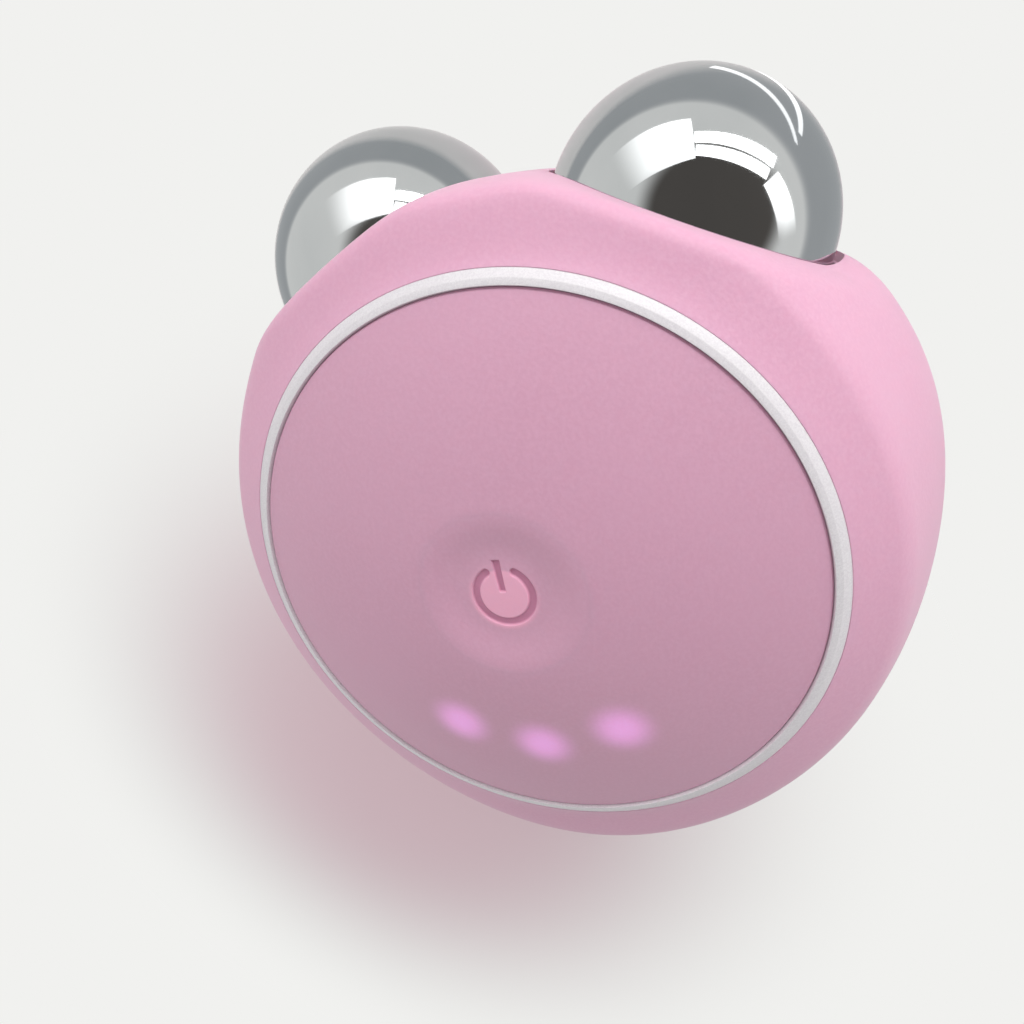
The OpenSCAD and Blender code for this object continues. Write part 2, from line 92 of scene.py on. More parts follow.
BROW_FADE = (22.0, 6.0)  # the height where the brow starts, and over how much
CHEEK_FADE = (19.0, 11.0)  # the height where the cheek starts to fade, and over how much
SADDLE_Y = 28.6  # the flat between the balls, where it meets the floor
SADDLE_TILT = 3.8
SEAT_HOLE = (5.0, 4.5)  # radius and length of the hole for a ball's seat
STUD_BORE = (2.03, 4.2)  # radius and depth of a ball's bore
JACK_Z = 12.5
JACK_HOLE = (3.3, 25.0, 60.0)  # radius, and where it starts and ends on the way to the jack
RING_FOOT = 32.35  # underside of the ring
RING_FLANGE = (1.5, 0.75)  # width and height of the flange that the pad sits on
RING_GAP = 0.1  # between ring and pad
PAD_FOOT = 33.2
PAD_EDGE = 0.24  # how far inside the pad's radius its edge starts to turn down
PAD_FLARE = 0.08  # how much wider the pad is below the ring
PAD_HOLLOW = (21.6, 21.5)  # radius of the hollow under the pad, at its foot and at its top
KEY_ROOM = 0.25  # how much the pad's hole widens downwards, so that the pressed key clears it
KEY_FLOOR = 3.4  # the key's underside above the ring's outer edge
KEY_DRAFT = 0.12  # how much narrower the key is at its underside
SYMBOL_DROP = 0.1  # the symbol's middle below the key's
BAR_HALF = 0.27  # half the width of the symbol's bar
BAR_TAPER = 0.03  # how fast the bar widens upwards
BAR_SLANT = 0.06
PAINTED_RIM_HIGHLIGHT_REACH = 0.28  # how far the painted highlight round the symbol reaches
LIGHT_ORBIT = 13.75  # distance of the three lights from the axis
LIGHT_STEP = 31.0
LIGHT_REACH = 3.7
LIGHT_LEVEL = 0.42

# ---- numbers of the stage, in millimetres and degrees ----
CAMERA_AT = (26.5, 34.44, 97.39)
CAMERA_RIGHT = (0.9303, -0.1915, -0.3130)
CAMERA_UP = (0.0396, 0.9004, -0.4333)
CAMERA_AHEAD = (-0.3648, -0.3907, -0.8451)
SENSOR = 36.0
PICTURE_WIDTH = 1024
LAMP_DISTANCE = 700.0
LAMP_TARGET = (0.0, 0.0, 20.0)
LAMPS = (  # name, azimuth, elevation, span, roll, fade, mirrored, share of the lamps' power
    ("window_upper", 47.4, 22.6, (49.0, 8.6), 21.0, 0, True, 0.16),
    ("window_lower", 51.1, 12.4, (51.0, 8.8), 20.0, 0, True, 0.34),
    ("window_left", 2.0, 9.0, (38.0, 16.0), 10.0, 0.8, True, 0.16),
    ("window_right", 105.0, 25.0, (52.0, 34.0), 5.0, -0.85, True, 0.37),
    ("far_fill", 180.0, 35.0, (60.0, 50.0), 0.0, 0, False, 0.20),
)
STRIPS = (  # the ends of two thin lamps on the floor, and their width, that draw bright arcs on the balls
    ("floor_strip_far", (17.0, 50.0), (66.0, 46.0), 3.0),
    ("floor_strip_near", (16.0, 43.5), (50.0, 33.0), 2.0),
)
STRIP_LEVEL = 1.2
STRIP_Z = 0.3
FLOOR_HALF = 1500.0
FLOOR_WHITE = "#FBFAF8"
# painted bounce light: a pink tint painted on the floor round the shadow
PAINTED_PINK_BOUNCE = "#FBDEE6"
BACKGROUND = "#F1F1EF"
ROOM_WHITE = "#F4F4F4"
TABLE_GREY = "#B4B7B9"
FLAG_GREY = "#5A5653"
FLAG_MIDDLE = (20.0, 62.0)  # azimuth and elevation of a dark flag that the balls mirror
FLAG_REACH = 52.0
FLAG_SOFT = 9.0
SHADOW_MIDDLE = (-40.0, -50.0, 0.0)  # round here the camera sees the lit floor
SHADOW_INNER = 16.0
SHADOW_OUTER = 78.0
GREY_MIDDLE = (-10.0, 22.0, 0.0)  # round here the balls see the lit floor
GREY_START = (30.0, 46.0)  # where it goes over into grey
GREY_END = (90.0, 190.0)  # and the grey into the background


# ---------------------------------------------------------------- meshes

def linear(hex_colour):
    """sRGB hex as linear RGBA: c / 12.92 up to 0.04045, else ((c + 0.055) / 1.055) ** 2.4."""
    parts = [int(hex_colour[i:i + 2], 16) / 255 for i in (1, 3, 5)]
    return tuple(c / 12.92 if c <= 0.04045 else ((c + 0.055) / 1.055) ** 2.4 for c in parts) + (1.0,)


def mesh_piece(name, points, polygons, smooth_angle=SMOOTH_ANGLE):
    """A mesh object from points in millimetres and arrays of polygons with 3 or 4 corners each."""
    mesh = bpy.data.meshes.new(name)
    mesh.vertices.add(len(points))
    mesh.vertices.foreach_set("co", (np.asarray(points, float) * MM).ravel())
    corners = np.concatenate([p.ravel() for p in polygons]).astype(np.int32)
    sizes = np.concatenate([np.full(len(p), p.shape[1]) for p in polygons])
    starts = np.concatenate([[0], np.cumsum(sizes)[:-1]]).astype(np.int32)
    mesh.loops.add(len(corners))
    mesh.loops.foreach_set("vertex_index", corners)
    mesh.polygons.add(len(starts))
    mesh.polygons.foreach_set("loop_start", starts)
    mesh.update(calc_edges=True)
    if mesh.validate():
        raise RuntimeError(f"{name}: the mesh had faces that Blender dropped")
    mesh.shade_smooth()
    mesh.set_sharp_from_angle(angle=math.radians(smooth_angle))
    piece = bpy.data.objects.new(name, mesh)
    bpy.context.collection.objects.link(piece)
    return piece


def grid_piece(name, grid, poles=(False, False), loop_rows=False, smooth_angle=SMOOTH_ANGLE):
    """A closed surface from points[row, column]. Columns run round and close on themselves. A pole is a row
    that is one point. With loop_rows the last row joins the first. Faces are turned to point outwards, which
    is where the signed volume, the sum of a . (b x c) / 6 over the triangles, is positive."""
    rows, columns = grid.shape[:2]
    index = np.arange(rows * columns).reshape(rows, columns)
    nxt = np.roll(index, -1, axis=1)
    low, high = slice(0, rows - 1), slice(1, rows)
    quads = np.stack([index[low], nxt[low], nxt[high], index[high]], axis=-1)
    if loop_rows:
        wrap = np.stack([index[-1:], nxt[-1:], nxt[:1], index[:1]], axis=-1)
        quads = np.concatenate([quads, wrap])
    fans = []
    if poles[0]:
        fans.append(np.stack([np.full(columns, index[0, 0]), nxt[1], index[1]], axis=-1))
        quads = quads[1:]
    if poles[1]:
        fans.append(np.stack([np.full(columns, index[-1, 0]), index[-2], nxt[-2]], axis=-1))
        quads = quads[:-1]
    polygons = [quads.reshape(-1, 4)] + fans
    points = grid.reshape(-1, 3)
    keep = np.ones(len(points), bool)
    if poles[0]:
        keep[index[0, 1:]] = False
    if poles[1]:
        keep[index[-1, 1:]] = False
    renumber = np.cumsum(keep) - 1
    polygons = [renumber[p] for p in polygons]
    points = points[keep]
    volume = sum(
        np.einsum("ij,ij->i", points[p[:, 0]], np.cross(points[p[:, k]], points[p[:, k + 1]])).sum()
        for p in polygons for k in range(1, p.shape[1] - 1))
    if volume < 0:
        polygons = [p[:, ::-1] for p in polygons]
    return mesh_piece(name, points, polygons, smooth_angle)


def around(columns):
    """Angles evenly spaced round a full turn, without the last, which is the first again."""
    return np.linspace(0, 2 * math.pi, columns, endpoint=False)


def turned(profile, columns):
    """A profile of (radius, height) points carried round Z: x = r cos a, y = r sin a, z = h."""
    a = around(columns)
    r, z = np.asarray(profile, float).T
    return np.stack([np.outer(r, np.cos(a)), np.outer(r, np.sin(a)), np.outer(z, np.ones(columns))], axis=-1)


def arc(centre, radius, start, end, count):
    """Points of a circle's arc in a profile: centre + radius (cos a, sin a), from start to end in degrees."""
    a = np.radians(np.linspace(start, end, count))
    return np.stack([centre[0] + radius * np.cos(a), centre[1] + radius * np.sin(a)], axis=-1)


def line(a, b, count):
    """Points evenly spaced from a to b, both ends included."""
    t = np.linspace(0, 1, count)[:, None]
    return np.asarray(a, float) * (1 - t) + np.asarray(b, float) * t


def bend(a, b, c, count):
    """A quadratic curve from a to c that is drawn towards b: a (1-t)^2 + 2 b t (1-t) + c t^2."""
    t = np.linspace(0, 1, count)[:, None]
    a, b, c = (np.asarray(p, float) for p in (a, b, c))
    return a * (1 - t) ** 2 + 2 * b * t * (1 - t) + c * t * t


def joined(*parts):
    """Profile parts end to end, without the points that repeat the one before."""
    points = np.concatenate([np.atleast_2d(np.asarray(p, float)) for p in parts])
    step = np.linalg.norm(np.diff(points, axis=0), axis=1)
    return points[np.concatenate([[True], step > TINY])]


def rounded(profile, radius, count=5):
    """A profile with each inner corner replaced by a bend that starts and ends radius away from it."""
    profile = np.asarray(profile, float)
    parts = [profile[:1]]
    for before, corner, after in zip(profile[:-2], profile[1:-1], profile[2:]):
        reach = min(radius, 0.45 * np.linalg.norm(before - corner), 0.45 * np.linalg.norm(after - corner))
        a = corner + (before - corner) / np.linalg.norm(before - corner) * reach
        c = corner + (after - corner) / np.linalg.norm(after - corner) * reach
        parts.append(bend(a, corner, c, count))
    return joined(*parts, profile[-1:])


def placed(grid, matrix):
    """A grid's points moved by a 4 x 4 matrix."""
    m = np.array(matrix)
    return grid @ m[:3, :3].T + m[:3, 3]


def smooth_min(a, b, k):
    """The lower of two values, with the change from one to the other rounded over a width k."""
    h = np.clip(1 - np.abs(a - b) / k, 0, None)
    return np.minimum(a, b) - h * h * k / 4


def ease(t):
    """0 below 0, 1 above 1, and 3t^2 - 2t^3 between."""
    t = np.clip(t, 0, 1)
    return t * t * (3 - 2 * t)


def carve(piece, cutters, smooth_angle=SMOOTH_ANGLE):
    """Takes the cutters out of a piece for good and removes them."""
    for cutter in cutters:
        cut = piece.modifiers.new("cut", "BOOLEAN")
        cut.operation = "DIFFERENCE"
        cut.solver = "MANIFOLD"
        cut.object = cutter
    graph = bpy.context.evaluated_depsgraph_get()
    mesh = bpy.data.meshes.new_from_object(piece.evaluated_get(graph))
    if len(mesh.polygons) == 0:
        raise RuntimeError(f"{piece.name}: nothing was left after the cuts")
    piece.modifiers.clear()
    old, piece.data = piece.data, mesh
    bpy.data.meshes.remove(old)
    mesh.name = piece.name
    for cutter in cutters:
        data = cutter.data
        bpy.data.objects.remove(cutter)
        bpy.data.meshes.remove(data)
    mesh.shade_smooth()
    mesh.set_sharp_from_angle(angle=math.radians(smooth_angle))


def finish_piece(piece, body, slot, material, *nodes):
    """Gives a piece its material and its body, and hides the CAD nodes that it stands for. The slot is not
    used.
    """
    piece.data.materials.clear()
    piece.data.materials.append(material)
    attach(piece, body)
    if nodes:
        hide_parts(*nodes)


# ---------------------------------------------------------------- materials

def feed(tree, made, inputs):
    """Sets inputs of a node to numbers or colours, or links them to sockets."""
    for name, value in inputs.items():
        if isinstance(value, bpy.types.NodeSocket):
            tree.links.new(value, made.inputs[name])
        else:
            made.inputs[name].default_value = value


def node(tree, kind, inputs=None, **settings):
    """Adds one shader node: settings are its own, inputs are numbers, colours or the sockets to link."""
    made = tree.nodes.new(kind)
    for name, value in settings.items():
        setattr(made, name, value)
    feed(tree, made, inputs or {})
    return made


def new_material(name):
    """An empty node material, its Principled shader and its Object coordinates in millimetres."""
    material = bpy.data.materials.new(name)
    material.use_nodes = True
    tree = material.node_tree
    tree.nodes.clear()
    shader = node(tree, "ShaderNodeBsdfPrincipled")
    node(tree, "ShaderNodeOutputMaterial", {"Surface": shader.outputs["BSDF"]})
    place = node(tree, "ShaderNodeTexCoord").outputs["Object"]
    return material, tree, shader, place


def grain(tree, place, size_mm, detail=2.0, stretch=(1.0, 1.0, 1.0)):
    """Noise whose grains are about size_mm across."""
    scaled = node(tree, "ShaderNodeMapping", {"Vector": place, "Scale": stretch})
    return node(tree, "ShaderNodeTexNoise", {
        "Vector": scaled.outputs["Vector"], "Scale": 1 / (size_mm * MM * 2), "Detail": detail}).outputs["Fac"]


def mixed(tree, factor, low, high):
    """A colour that goes from low to high as factor goes from 0 to 1."""
    return node(tree, "ShaderNodeMix", {"Factor": factor, 6: low, 7: high}, data_type="RGBA").outputs[2]


def maths(tree, operation, a, b):
    """The sum, product or other result of two numbers."""
    return node(tree, "ShaderNodeMath", {0: a, 1: b}, operation=operation).outputs[0]


def number_between(tree, factor, low, high, start=0.3, end=0.7, shape="LINEAR"):
    """A number that goes from low to high as factor goes from start to end."""
    return node(tree, "ShaderNodeMapRange", {
        "Value": factor, "From Min": start, "From Max": end, "To Min": low, "To Max": high},
        interpolation_type=shape).outputs["Result"]


def between(tree, factor, low, high, start=0.3, end=0.7):
    """A colour that goes from low to high as factor goes from start to end."""
    return mixed(tree, number_between(tree, factor, 0, 1, start, end), low, high)


def bumped(tree, height, depth_mm):
    """A normal from a height between 0 and 1 that stands for depth_mm."""
    return node(tree, "ShaderNodeBump", {
        "Height": height, "Distance": depth_mm * MM, "Strength": 1.0}).outputs["Normal"]


def silicone(name, colours, lights=False):
    """Liquid silicone rubber, injection moulded in a spark-eroded tool: soft, matt, with a very fine even
    grain and a faint bloom at glancing angles. The grain is about 0.1 mm and is drawn at 0.16 mm to show."""
    material, tree, shader, place = new_material(name)
    cloud = grain(tree, place, 7.0, 3.0)
    fine = grain(tree, place, 0.16, 1.0)
    dark, middle, pale = colours
    feed(tree, shader, {
        "Base Color": between(tree, fine, between(tree, cloud, dark, middle), pale, 0.35, 0.75),
        "Roughness": number_between(tree, fine, 0.5, 0.62), "Normal": bumped(tree, fine, 0.012),
        "IOR": 1.41, "Specular IOR Level": 0.85, "Sheen Weight": 0.25, "Sheen Roughness": 0.5,
        "Subsurface Weight": 0.15, "Subsurface Radius": (1.0, 0.45, 0.5), "Subsurface Scale": 0.0008})
    if lights:
        paint_lights(tree, shader, place)
    return material


def paint_lights(tree, shader, place):
    """The three indicator lights seen through the pad: for each, a soft disc of light that falls off with the
    distance from its axis, brightest in the middle."""
    flat = node(tree, "ShaderNodeVectorMath", {0: place, 1: (1, 1, 0)}, operation="MULTIPLY").outputs[0]
    total = None
    for step in (-1, 0, 1):
        angle = math.radians(-90 + step * LIGHT_STEP)
        middle = (LIGHT_ORBIT * math.cos(angle) * MM, LIGHT_ORBIT * math.sin(angle) * MM, 0)
        reach = node(tree, "ShaderNodeVectorMath", {0: flat, 1: middle}, operation="DISTANCE")
        disc = number_between(tree, reach.outputs["Value"], 1, 0, 0, LIGHT_REACH * MM, "SMOOTHERSTEP")
        total = disc if total is None else maths(tree, "ADD", total, disc)
    feed(tree, shader, {"Emission Color": bpy.context.scene.toner_colours.lights,
                        "Emission Strength": maths(tree, "MULTIPLY", total, LIGHT_LEVEL)})


def chrome():
    """Bright chromium plate on a polished brass ball: a cool mirror with the faintest wipe marks."""
    material, tree, shader, place = new_material("bright_chrome_plate")
    c = bpy.context.scene.toner_colours
    wipe = grain(tree, place, 3.0, 4.0, (1.0, 0.35, 1.0))
    feed(tree, shader, {"Metallic": 1.0, "Base Color": between(tree, wipe, c.chrome_dark, c.chrome_pale),
                        "Roughness": number_between(tree, wipe, 0.025, 0.07)})
    return material


def pearl_lacquer():
    """ABS ring under a pearl lacquer: a satin white whose flakes of about 0.06 mm, drawn at 0.1 mm to show,
    differ a little in tone and tilt, so that the white has a fine quiet glitter."""
    material, tree, shader, place = new_material("pearl_lacquered_abs")
    flake = node(tree, "ShaderNodeTexVoronoi", {"Vector": place, "Scale": 1 / (0.1 * MM)})
    tone, gloss, tilt = node(tree, "ShaderNodeSeparateColor", {"Color": flake.outputs["Color"]}).outputs
    c = bpy.context.scene.toner_colours
    feed(tree, shader, {
        "Base Color": between(tree, tone, c.ring_dark, c.ring_pale, 0, 1),
        "Roughness": number_between(tree, gloss, 0.3, 0.42, 0, 1),
        "Normal": bumped(tree, tilt, 0.0012), "Coat Weight": 0.25, "Coat Roughness": 0.25})
    return material


def moulded(name, low, high, size_mm=0.3, roughness=(0.4, 0.5), depth_mm=0.01, ior=1.5):
    """A moulded plastic or rubber with a spark-eroded grain of size_mm."""
    material, tree, shader, place = new_material(name)
    cloud = grain(tree, place, 5.0, 3.0)
    fine = grain(tree, place, size_mm, 2.0)
    feed(tree, shader, {
        "Base Color": between(tree, cloud, linear(low), linear(high)), "IOR": ior,
        "Roughness": number_between(tree, fine, *roughness), "Normal": bumped(tree, fine, depth_mm)})
    return material


def turned_metal(name, low, high, size_mm=0.15, roughness=(0.2, 0.35), stretch=(1.0, 1.0, 8.0)):
    """A machined or drawn metal with fine tool marks size_mm apart."""
    material, tree, shader, place = new_material(name)
    marks = grain(tree, place, size_mm, 2.0, stretch)
    feed(tree, shader, {
        "Base Color": between(tree, marks, linear(low), linear(high)), "Metallic": 1.0,
        "Roughness": number_between(tree, marks, *roughness), "Normal": bumped(tree, marks, 0.003)})
    return material


# ---------------------------------------------------------------- the body's form

def body_outline():
    """The body's outside in a cut through its axis, from the recess behind the ring over the lip, the front
    band, the soft edge and the side wall to the flat on the back. The wall's radius falls off as the square
    of the height above the widest line, and the back is a quarter of an ellipse."""
    s = bpy.context.scene.toner_body
    opening, shoulder = s.opening_r, (s.shoulder_r, s.shoulder_z)
    drop = s.body_r - s.shoulder_r

    def wall(z):
        return s.body_r - drop * ((z - s.mid_z) / (s.shoulder_z - s.mid_z)) ** 2

    lip = (opening, s.face_z - LIP_DROP)
    band_end = np.array(lip) * (1 - BAND_SHARE) + np.array(shoulder) * BAND_SHARE
    z = np.linspace(WALL_TOP, s.mid_z, 22)
    side = np.stack([wall(z), z], axis=-1)
    a = np.radians(np.linspace(0, 90, 44))
    back = np.stack([REST_FLAT + (s.body_r - REST_FLAT) * np.cos(a), s.mid_z * (1 - np.sin(a))], axis=-1)
    ledge_top = (opening, LEDGE_Z + LEDGE_WALL)
    lip_curve = rounded([ledge_top, lip, band_end], LIP_ROUND, 6)
    return joined(
        line((0, LEDGE_Z), (opening - 0.4, LEDGE_Z), 6), line((opening, LEDGE_Z), ledge_top, 4),
        lip_curve[:-1], line(lip_curve[-2], band_end, 14),
        bend(band_end, shoulder, (wall(WALL_TOP), WALL_TOP), 22),
        side, back, line((REST_FLAT, 0), (0, 0), 8))


def body_outside(columns=440):
    """The body's outside before the balls' pockets are cut. The outline is carried round and stretched along
    Y by an amount that grows with the square of the sine of the azimuth, or its eighth power at the front edge
    towards the jack. It swells at each cheek, below a ball, and at each brow, on the front edge before a
    ball, as exp(-(angle from the middle / reach)^2). Then every point is drawn in along its line to the star
    centre until it lies inside the saddle's and the two rims' planes, with a smooth minimum that rounds the
    edges. An ear lifts the rim's plane at its outer end, with the same bell of the angle."""
    s = bpy.context.scene.toner_body
    grid = turned(body_outline(), columns)
    x, y, z = np.moveaxis(grid, -1, 0)
    r = np.hypot(x, y)
    sine = np.divide(y, r, out=np.zeros_like(y), where=r > TINY)
    outer = ease((r - s.opening_r - 0.3) / 3.0)
    high = ease((z - s.mid_z + 6) / 14)
    up = s.stretch_up * sine ** 2 + s.shoulder_up * high * sine ** 2
    down = s.stretch_down * sine ** 2 + s.shoulder_down * high * sine ** 8
    grid[..., 1] = y + np.where(sine > 0, up, -down) * outer * (0.55 + 0.45 * high)

    past_side = np.degrees(np.arctan2(y, np.abs(x)))

    def bell(middle, reach):
        return np.exp(-((past_side - middle) / reach) ** 2)

    def fade_up(start, span):
        return ease((z - start) / span)

    cheek = s.cheek * bell(math.degrees(s.cheek_at), math.degrees(s.cheek_reach))
    cheek = cheek * (1 - fade_up(*CHEEK_FADE)) * (r / s.body_r) ** 2
    brow = s.brow * bell(BALL_BEARING, BROW_REACH) * fade_up(*BROW_FADE) * ease((r - s.opening_r - 1) / 3)
    swell = 1 + np.divide(cheek + brow, r, out=np.zeros_like(r), where=r > TINY)
    grid[..., :2] *= swell[..., None]

    centre = np.array(STAR_CENTRE)
    ray = grid - centre
    scale = np.ones(grid.shape[:2])
    ear = bell(EAR_BEARING, EAR_REACH) * (1 - fade_up(*EAR_FADE))
    for normal, point, k, ear_height in cut_planes():
        along = ray @ normal
        reach = (point - centre) @ normal + ear_height * ear
        limit = np.where(along > TINY, reach / np.maximum(along, TINY), FAR)
        scale = smooth_min(scale, limit, k)
    return centre + ray * scale[..., None]


def ball_frame(side, tilt=0.0, lean=0.0):
    """A frame at a ball's centre whose Z axis is the stud's axis, outwards, or that axis turned down by tilt
    and out to the side by lean, in degrees."""
    at = Matrix.Translation((side * BALL_CENTRE[0], BALL_CENTRE[1], BALL_CENTRE[2]))
    return (at @ Matrix.Rotation(math.radians(-side * (BALL_LEAN + lean)), 4, "Z")
            @ Matrix.Rotation(math.radians(-(90 + BALL_DIP) - tilt), 4, "X"))


def cut_planes():
    """The saddle's plane and the two rims' planes: outward normal, a point, the width of the rounding, and
    how far the plane is lifted at the outer end of each rim."""
    s = bpy.context.scene.toner_body
    t = math.radians(SADDLE_TILT)
    planes = [(np.array((0, math.cos(t), -math.sin(t))), np.array((0, SADDLE_Y, 0)), s.saddle_round, 0.0)]
    for side in (-1, 1):
        m = ball_frame(side, RIM_TILT, RIM_LEAN)
        normal = np.array(m.to_3x3() @ Vector((0, 0, 1)))
        planes.append((normal, np.array(m @ Vector((0, 0, RIM_RISE))), s.rim_round, s.ear))
    return planes


def pocket_cutter(side):
    """A ball's pocket with a rounded mouth: a sphere's profile that widens by the mouth gap towards the
    mouth, then an arc that rolls over onto the rim's plane, and a straight run out of the body."""
    b = bpy.context.scene.toner_ball
    radius, round_r = b.ball_r + b.pocket_gap + b.mouth_gap, b.mouth_round
    middle_h = RIM_RISE - round_r
    middle_r = math.sqrt((radius + round_r) ** 2 - middle_h ** 2)
    meet = math.degrees(math.atan2(middle_h, middle_r))
    bowl = arc((0, 0), 1.0, -90, meet, 90)
    below = np.degrees(np.arctan2(bowl[:, 1], bowl[:, 0]))
    narrower = b.mouth_gap * (1 - ease((below - MOUTH_START) / MOUTH_SPAN))
    top = RIM_RISE + POCKET_RUN
    profile = joined(
        bowl * (radius - narrower)[:, None],
        arc((middle_r, middle_h), round_r, 180 + meet, 96, 9),
        line((middle_r, RIM_RISE + 0.4), (middle_r, top), 4), [(0, top)])
    profile[0, 0] = 0
    grid = placed(turned(profile, 160), ball_frame(side, RIM_TILT, RIM_LEAN))
    return grid_piece("pocket_cutter", grid, (True, True))


def cavity_cutter():
    """What the rigid case fills: the outline set SKIN inwards, less a wall of POCKET_SKIN round each pocket
    and one of SKIN behind the saddle."""
    s, b = bpy.context.scene.toner_body, bpy.context.scene.toner_ball
    outline = body_outline()
    first = np.argmax(outline[:, 1] > s.face_z - 0.4) + 6
    skin_line = outline[first:]
    ahead = np.roll(skin_line, -1, axis=0) - np.roll(skin_line, 1, axis=0)
    ahead[0], ahead[-1] = skin_line[1] - skin_line[0], skin_line[-1] - skin_line[-2]
    ahead /= np.linalg.norm(ahead, axis=1)[:, None]
    inner = skin_line + np.stack([ahead[:, 1], -ahead[:, 0]], axis=-1) * SKIN
    inner = inner[np.unique(np.append(np.arange(0, len(inner), 3), len(inner) - 1))]
    inner[-1, 0] = 0
    top = s.face_z + 1
    profile = joined([(0, top), (inner[0, 0], top)], inner)
    cavity = grid_piece("cavity", turned(profile, 200), (True, True))
    keep = []
    for side in (-1, 1):
        ball = arc((0, 0), b.ball_r + POCKET_SKIN, -90, 90, 48)
        ball[0, 0] = ball[-1, 0] = 0
        keep.append(grid_piece("pocket_wall", placed(turned(ball, 120), ball_frame(side)), (True, True)))
    wall = [[(x, y, z) for x, y in ((-40, 0), (40, 0), (40, 40), (-40, 40))] for z in (-40, 60)]
    wall = np.array(wall, float)
    middle = wall.mean(1, keepdims=True).repeat(4, 1)
    caps = np.concatenate([middle[:1], wall, middle[1:]])
    turn = Matrix.Translation((0, SADDLE_Y - SKIN, 0)) @ Matrix.Rotation(-math.radians(SADDLE_TILT), 4, "X")
    keep.append(grid_piece("saddle_wall", placed(caps, turn), (True, True)))
    carve(cavity, keep)
    return cavity


def bore(name, radius, matrix, low, high, columns=64):
    """A round cutter along a frame's Z axis, from low to high."""
    profile = [(0, low), (radius, low), (radius, high), (0, high)]
    return grid_piece(name, placed(turned(profile, columns), matrix), (True, True))


class TONER_OT_sleeve(bpy.types.Operator):
    """Make the silicone body with its two pockets, its recess for the ring and its hole for the jack"""

    bl_idname = "toner.sleeve"
    bl_label = "Silicone Body"

    def execute(self, context):
        b = context.scene.toner_ball
        sleeve = grid_piece("silicone_body", body_outside(), (True, True))
        cutters = [cavity_cutter()]
        seat_r, seat_length = SEAT_HOLE
        low = -b.ball_r - POCKET_SKIN - 1
        for side in (-1, 1):
            cutters.append(pocket_cutter(side))
            cutters.append(bore("seat_hole", seat_r, ball_frame(side), low, low + seat_length))
        jack = Matrix.Translation((0, 0, JACK_Z)) @ Matrix.Rotation(math.radians(90), 4, "X")
        jack_r, jack_start, jack_end = JACK_HOLE
        cutters.append(bore("jack_hole", jack_r, jack, jack_start, jack_end))
        carve(sleeve, cutters)
        c = context.scene.toner_colours
        skin = silicone("moulded_silicone_pink", (c.body_dark, c.body_pink, c.body_pale))
        finish_piece(sleeve, HOUSING, "silicone", skin, "silicone_sleeve")
        return {"FINISHED"}


# ---------------------------------------------------------------- the ring, the pad and the key

def ring_profile():
    """The ring's cut: a flat bevel outside, a satin band that rises gently inwards, a chamfer to the pad."""
    s, f = bpy.context.scene.toner_body, bpy.context.scene.toner_face
    z, inner = s.face_z, f.pad_r + RING_GAP
    hold, flange_top = inner - RING_FLANGE[0], RING_FOOT + RING_FLANGE[1]
    crest = (f.ring_r - f.ring_bevel, z + 0.42)
    band = bend(crest, ((inner + crest[0]) / 2, z + 0.6), (inner + 0.16, z + 0.64), 9)
    return joined(
        rounded([(hold, RING_FOOT), (f.ring_r, RING_FOOT), (f.ring_r, z - 0.1)], 0.1, 3)[:-1],
        rounded([(f.ring_r, z - 0.6), (f.ring_r, z - 0.12), crest, band[1]], 0.1, 5)[:-1],
        band[1:-1], rounded([band[-2], band[-1], (inner, z + 0.2), (inner, z)], 0.05, 4)[1:],
        [(inner, flange_top), (hold, flange_top)])


class TONER_OT_ring(bpy.types.Operator):
    """Make the white ring round the pad"""

    bl_idname = "toner.ring"
    bl_label = "Trim Ring"

    def execute(self, context):
        ring = grid_piece("white_ring", turned(ring_profile(), 512), loop_rows=True, smooth_angle=40)
        finish_piece(ring, HOUSING, "pearl_white", pearl_lacquer(), "trim_ring")
        return {"FINISHED"}


def dome_height(x, y):
    """The pad's surface: a crown that falls off with the square of the radius, less the key's dimple, which
    has a flat middle and a wall that rises from dimple floor to dimple reach as 6t^5 - 15t^4 + 10t^3."""
    s, f = bpy.context.scene.toner_body, bpy.context.scene.toner_face
    low, high = s.face_z + f.pad_edge_rise, f.pad_crown - f.pad_edge_rise
    crown = low + high * (1 - (x * x + y * y) / f.pad_r ** 2)
    t = np.clip((np.hypot(x, y - f.key_y) - f.dimple_floor) / (f.dimple_reach - f.dimple_floor), 0, 1)
    return crown - f.dimple_depth * (1 - t ** 3 * (10 - 15 * t + 6 * t * t))


def symbol_depth(x, y):
    """0 outside the power symbol's groove, 1 on its floor, with walls groove_wall wide. The symbol is a ring
    that is open at the top, with round ends, and a bar with square ends that is a little wider at the top and
    leans a little."""
    f = bpy.context.scene.toner_face
    y = y - f.key_y + SYMBOL_DROP
    half = f.symbol_line / 2
    middle = f.symbol_r - half
    gap = f.symbol_gap
    radius, angle = np.hypot(x, y), np.abs(np.arctan2(x, y))
    end = (middle * math.sin(gap), middle * math.cos(gap))
    ring = np.where(angle > gap, np.abs(radius - middle), np.hypot(np.abs(x) - end[0], y - end[1]))
    bar_middle, bar_half = (f.bar_low + f.bar_high) / 2, (f.bar_high - f.bar_low) / 2
    taper = BAR_HALF + BAR_TAPER * (y - bar_middle)
    bar = np.maximum(np.abs(x + BAR_SLANT * y) - taper, np.abs(y - bar_middle) - bar_half)
    edge = np.maximum(half - ring, -bar)
    return ease(edge / f.groove_wall + 0.5)


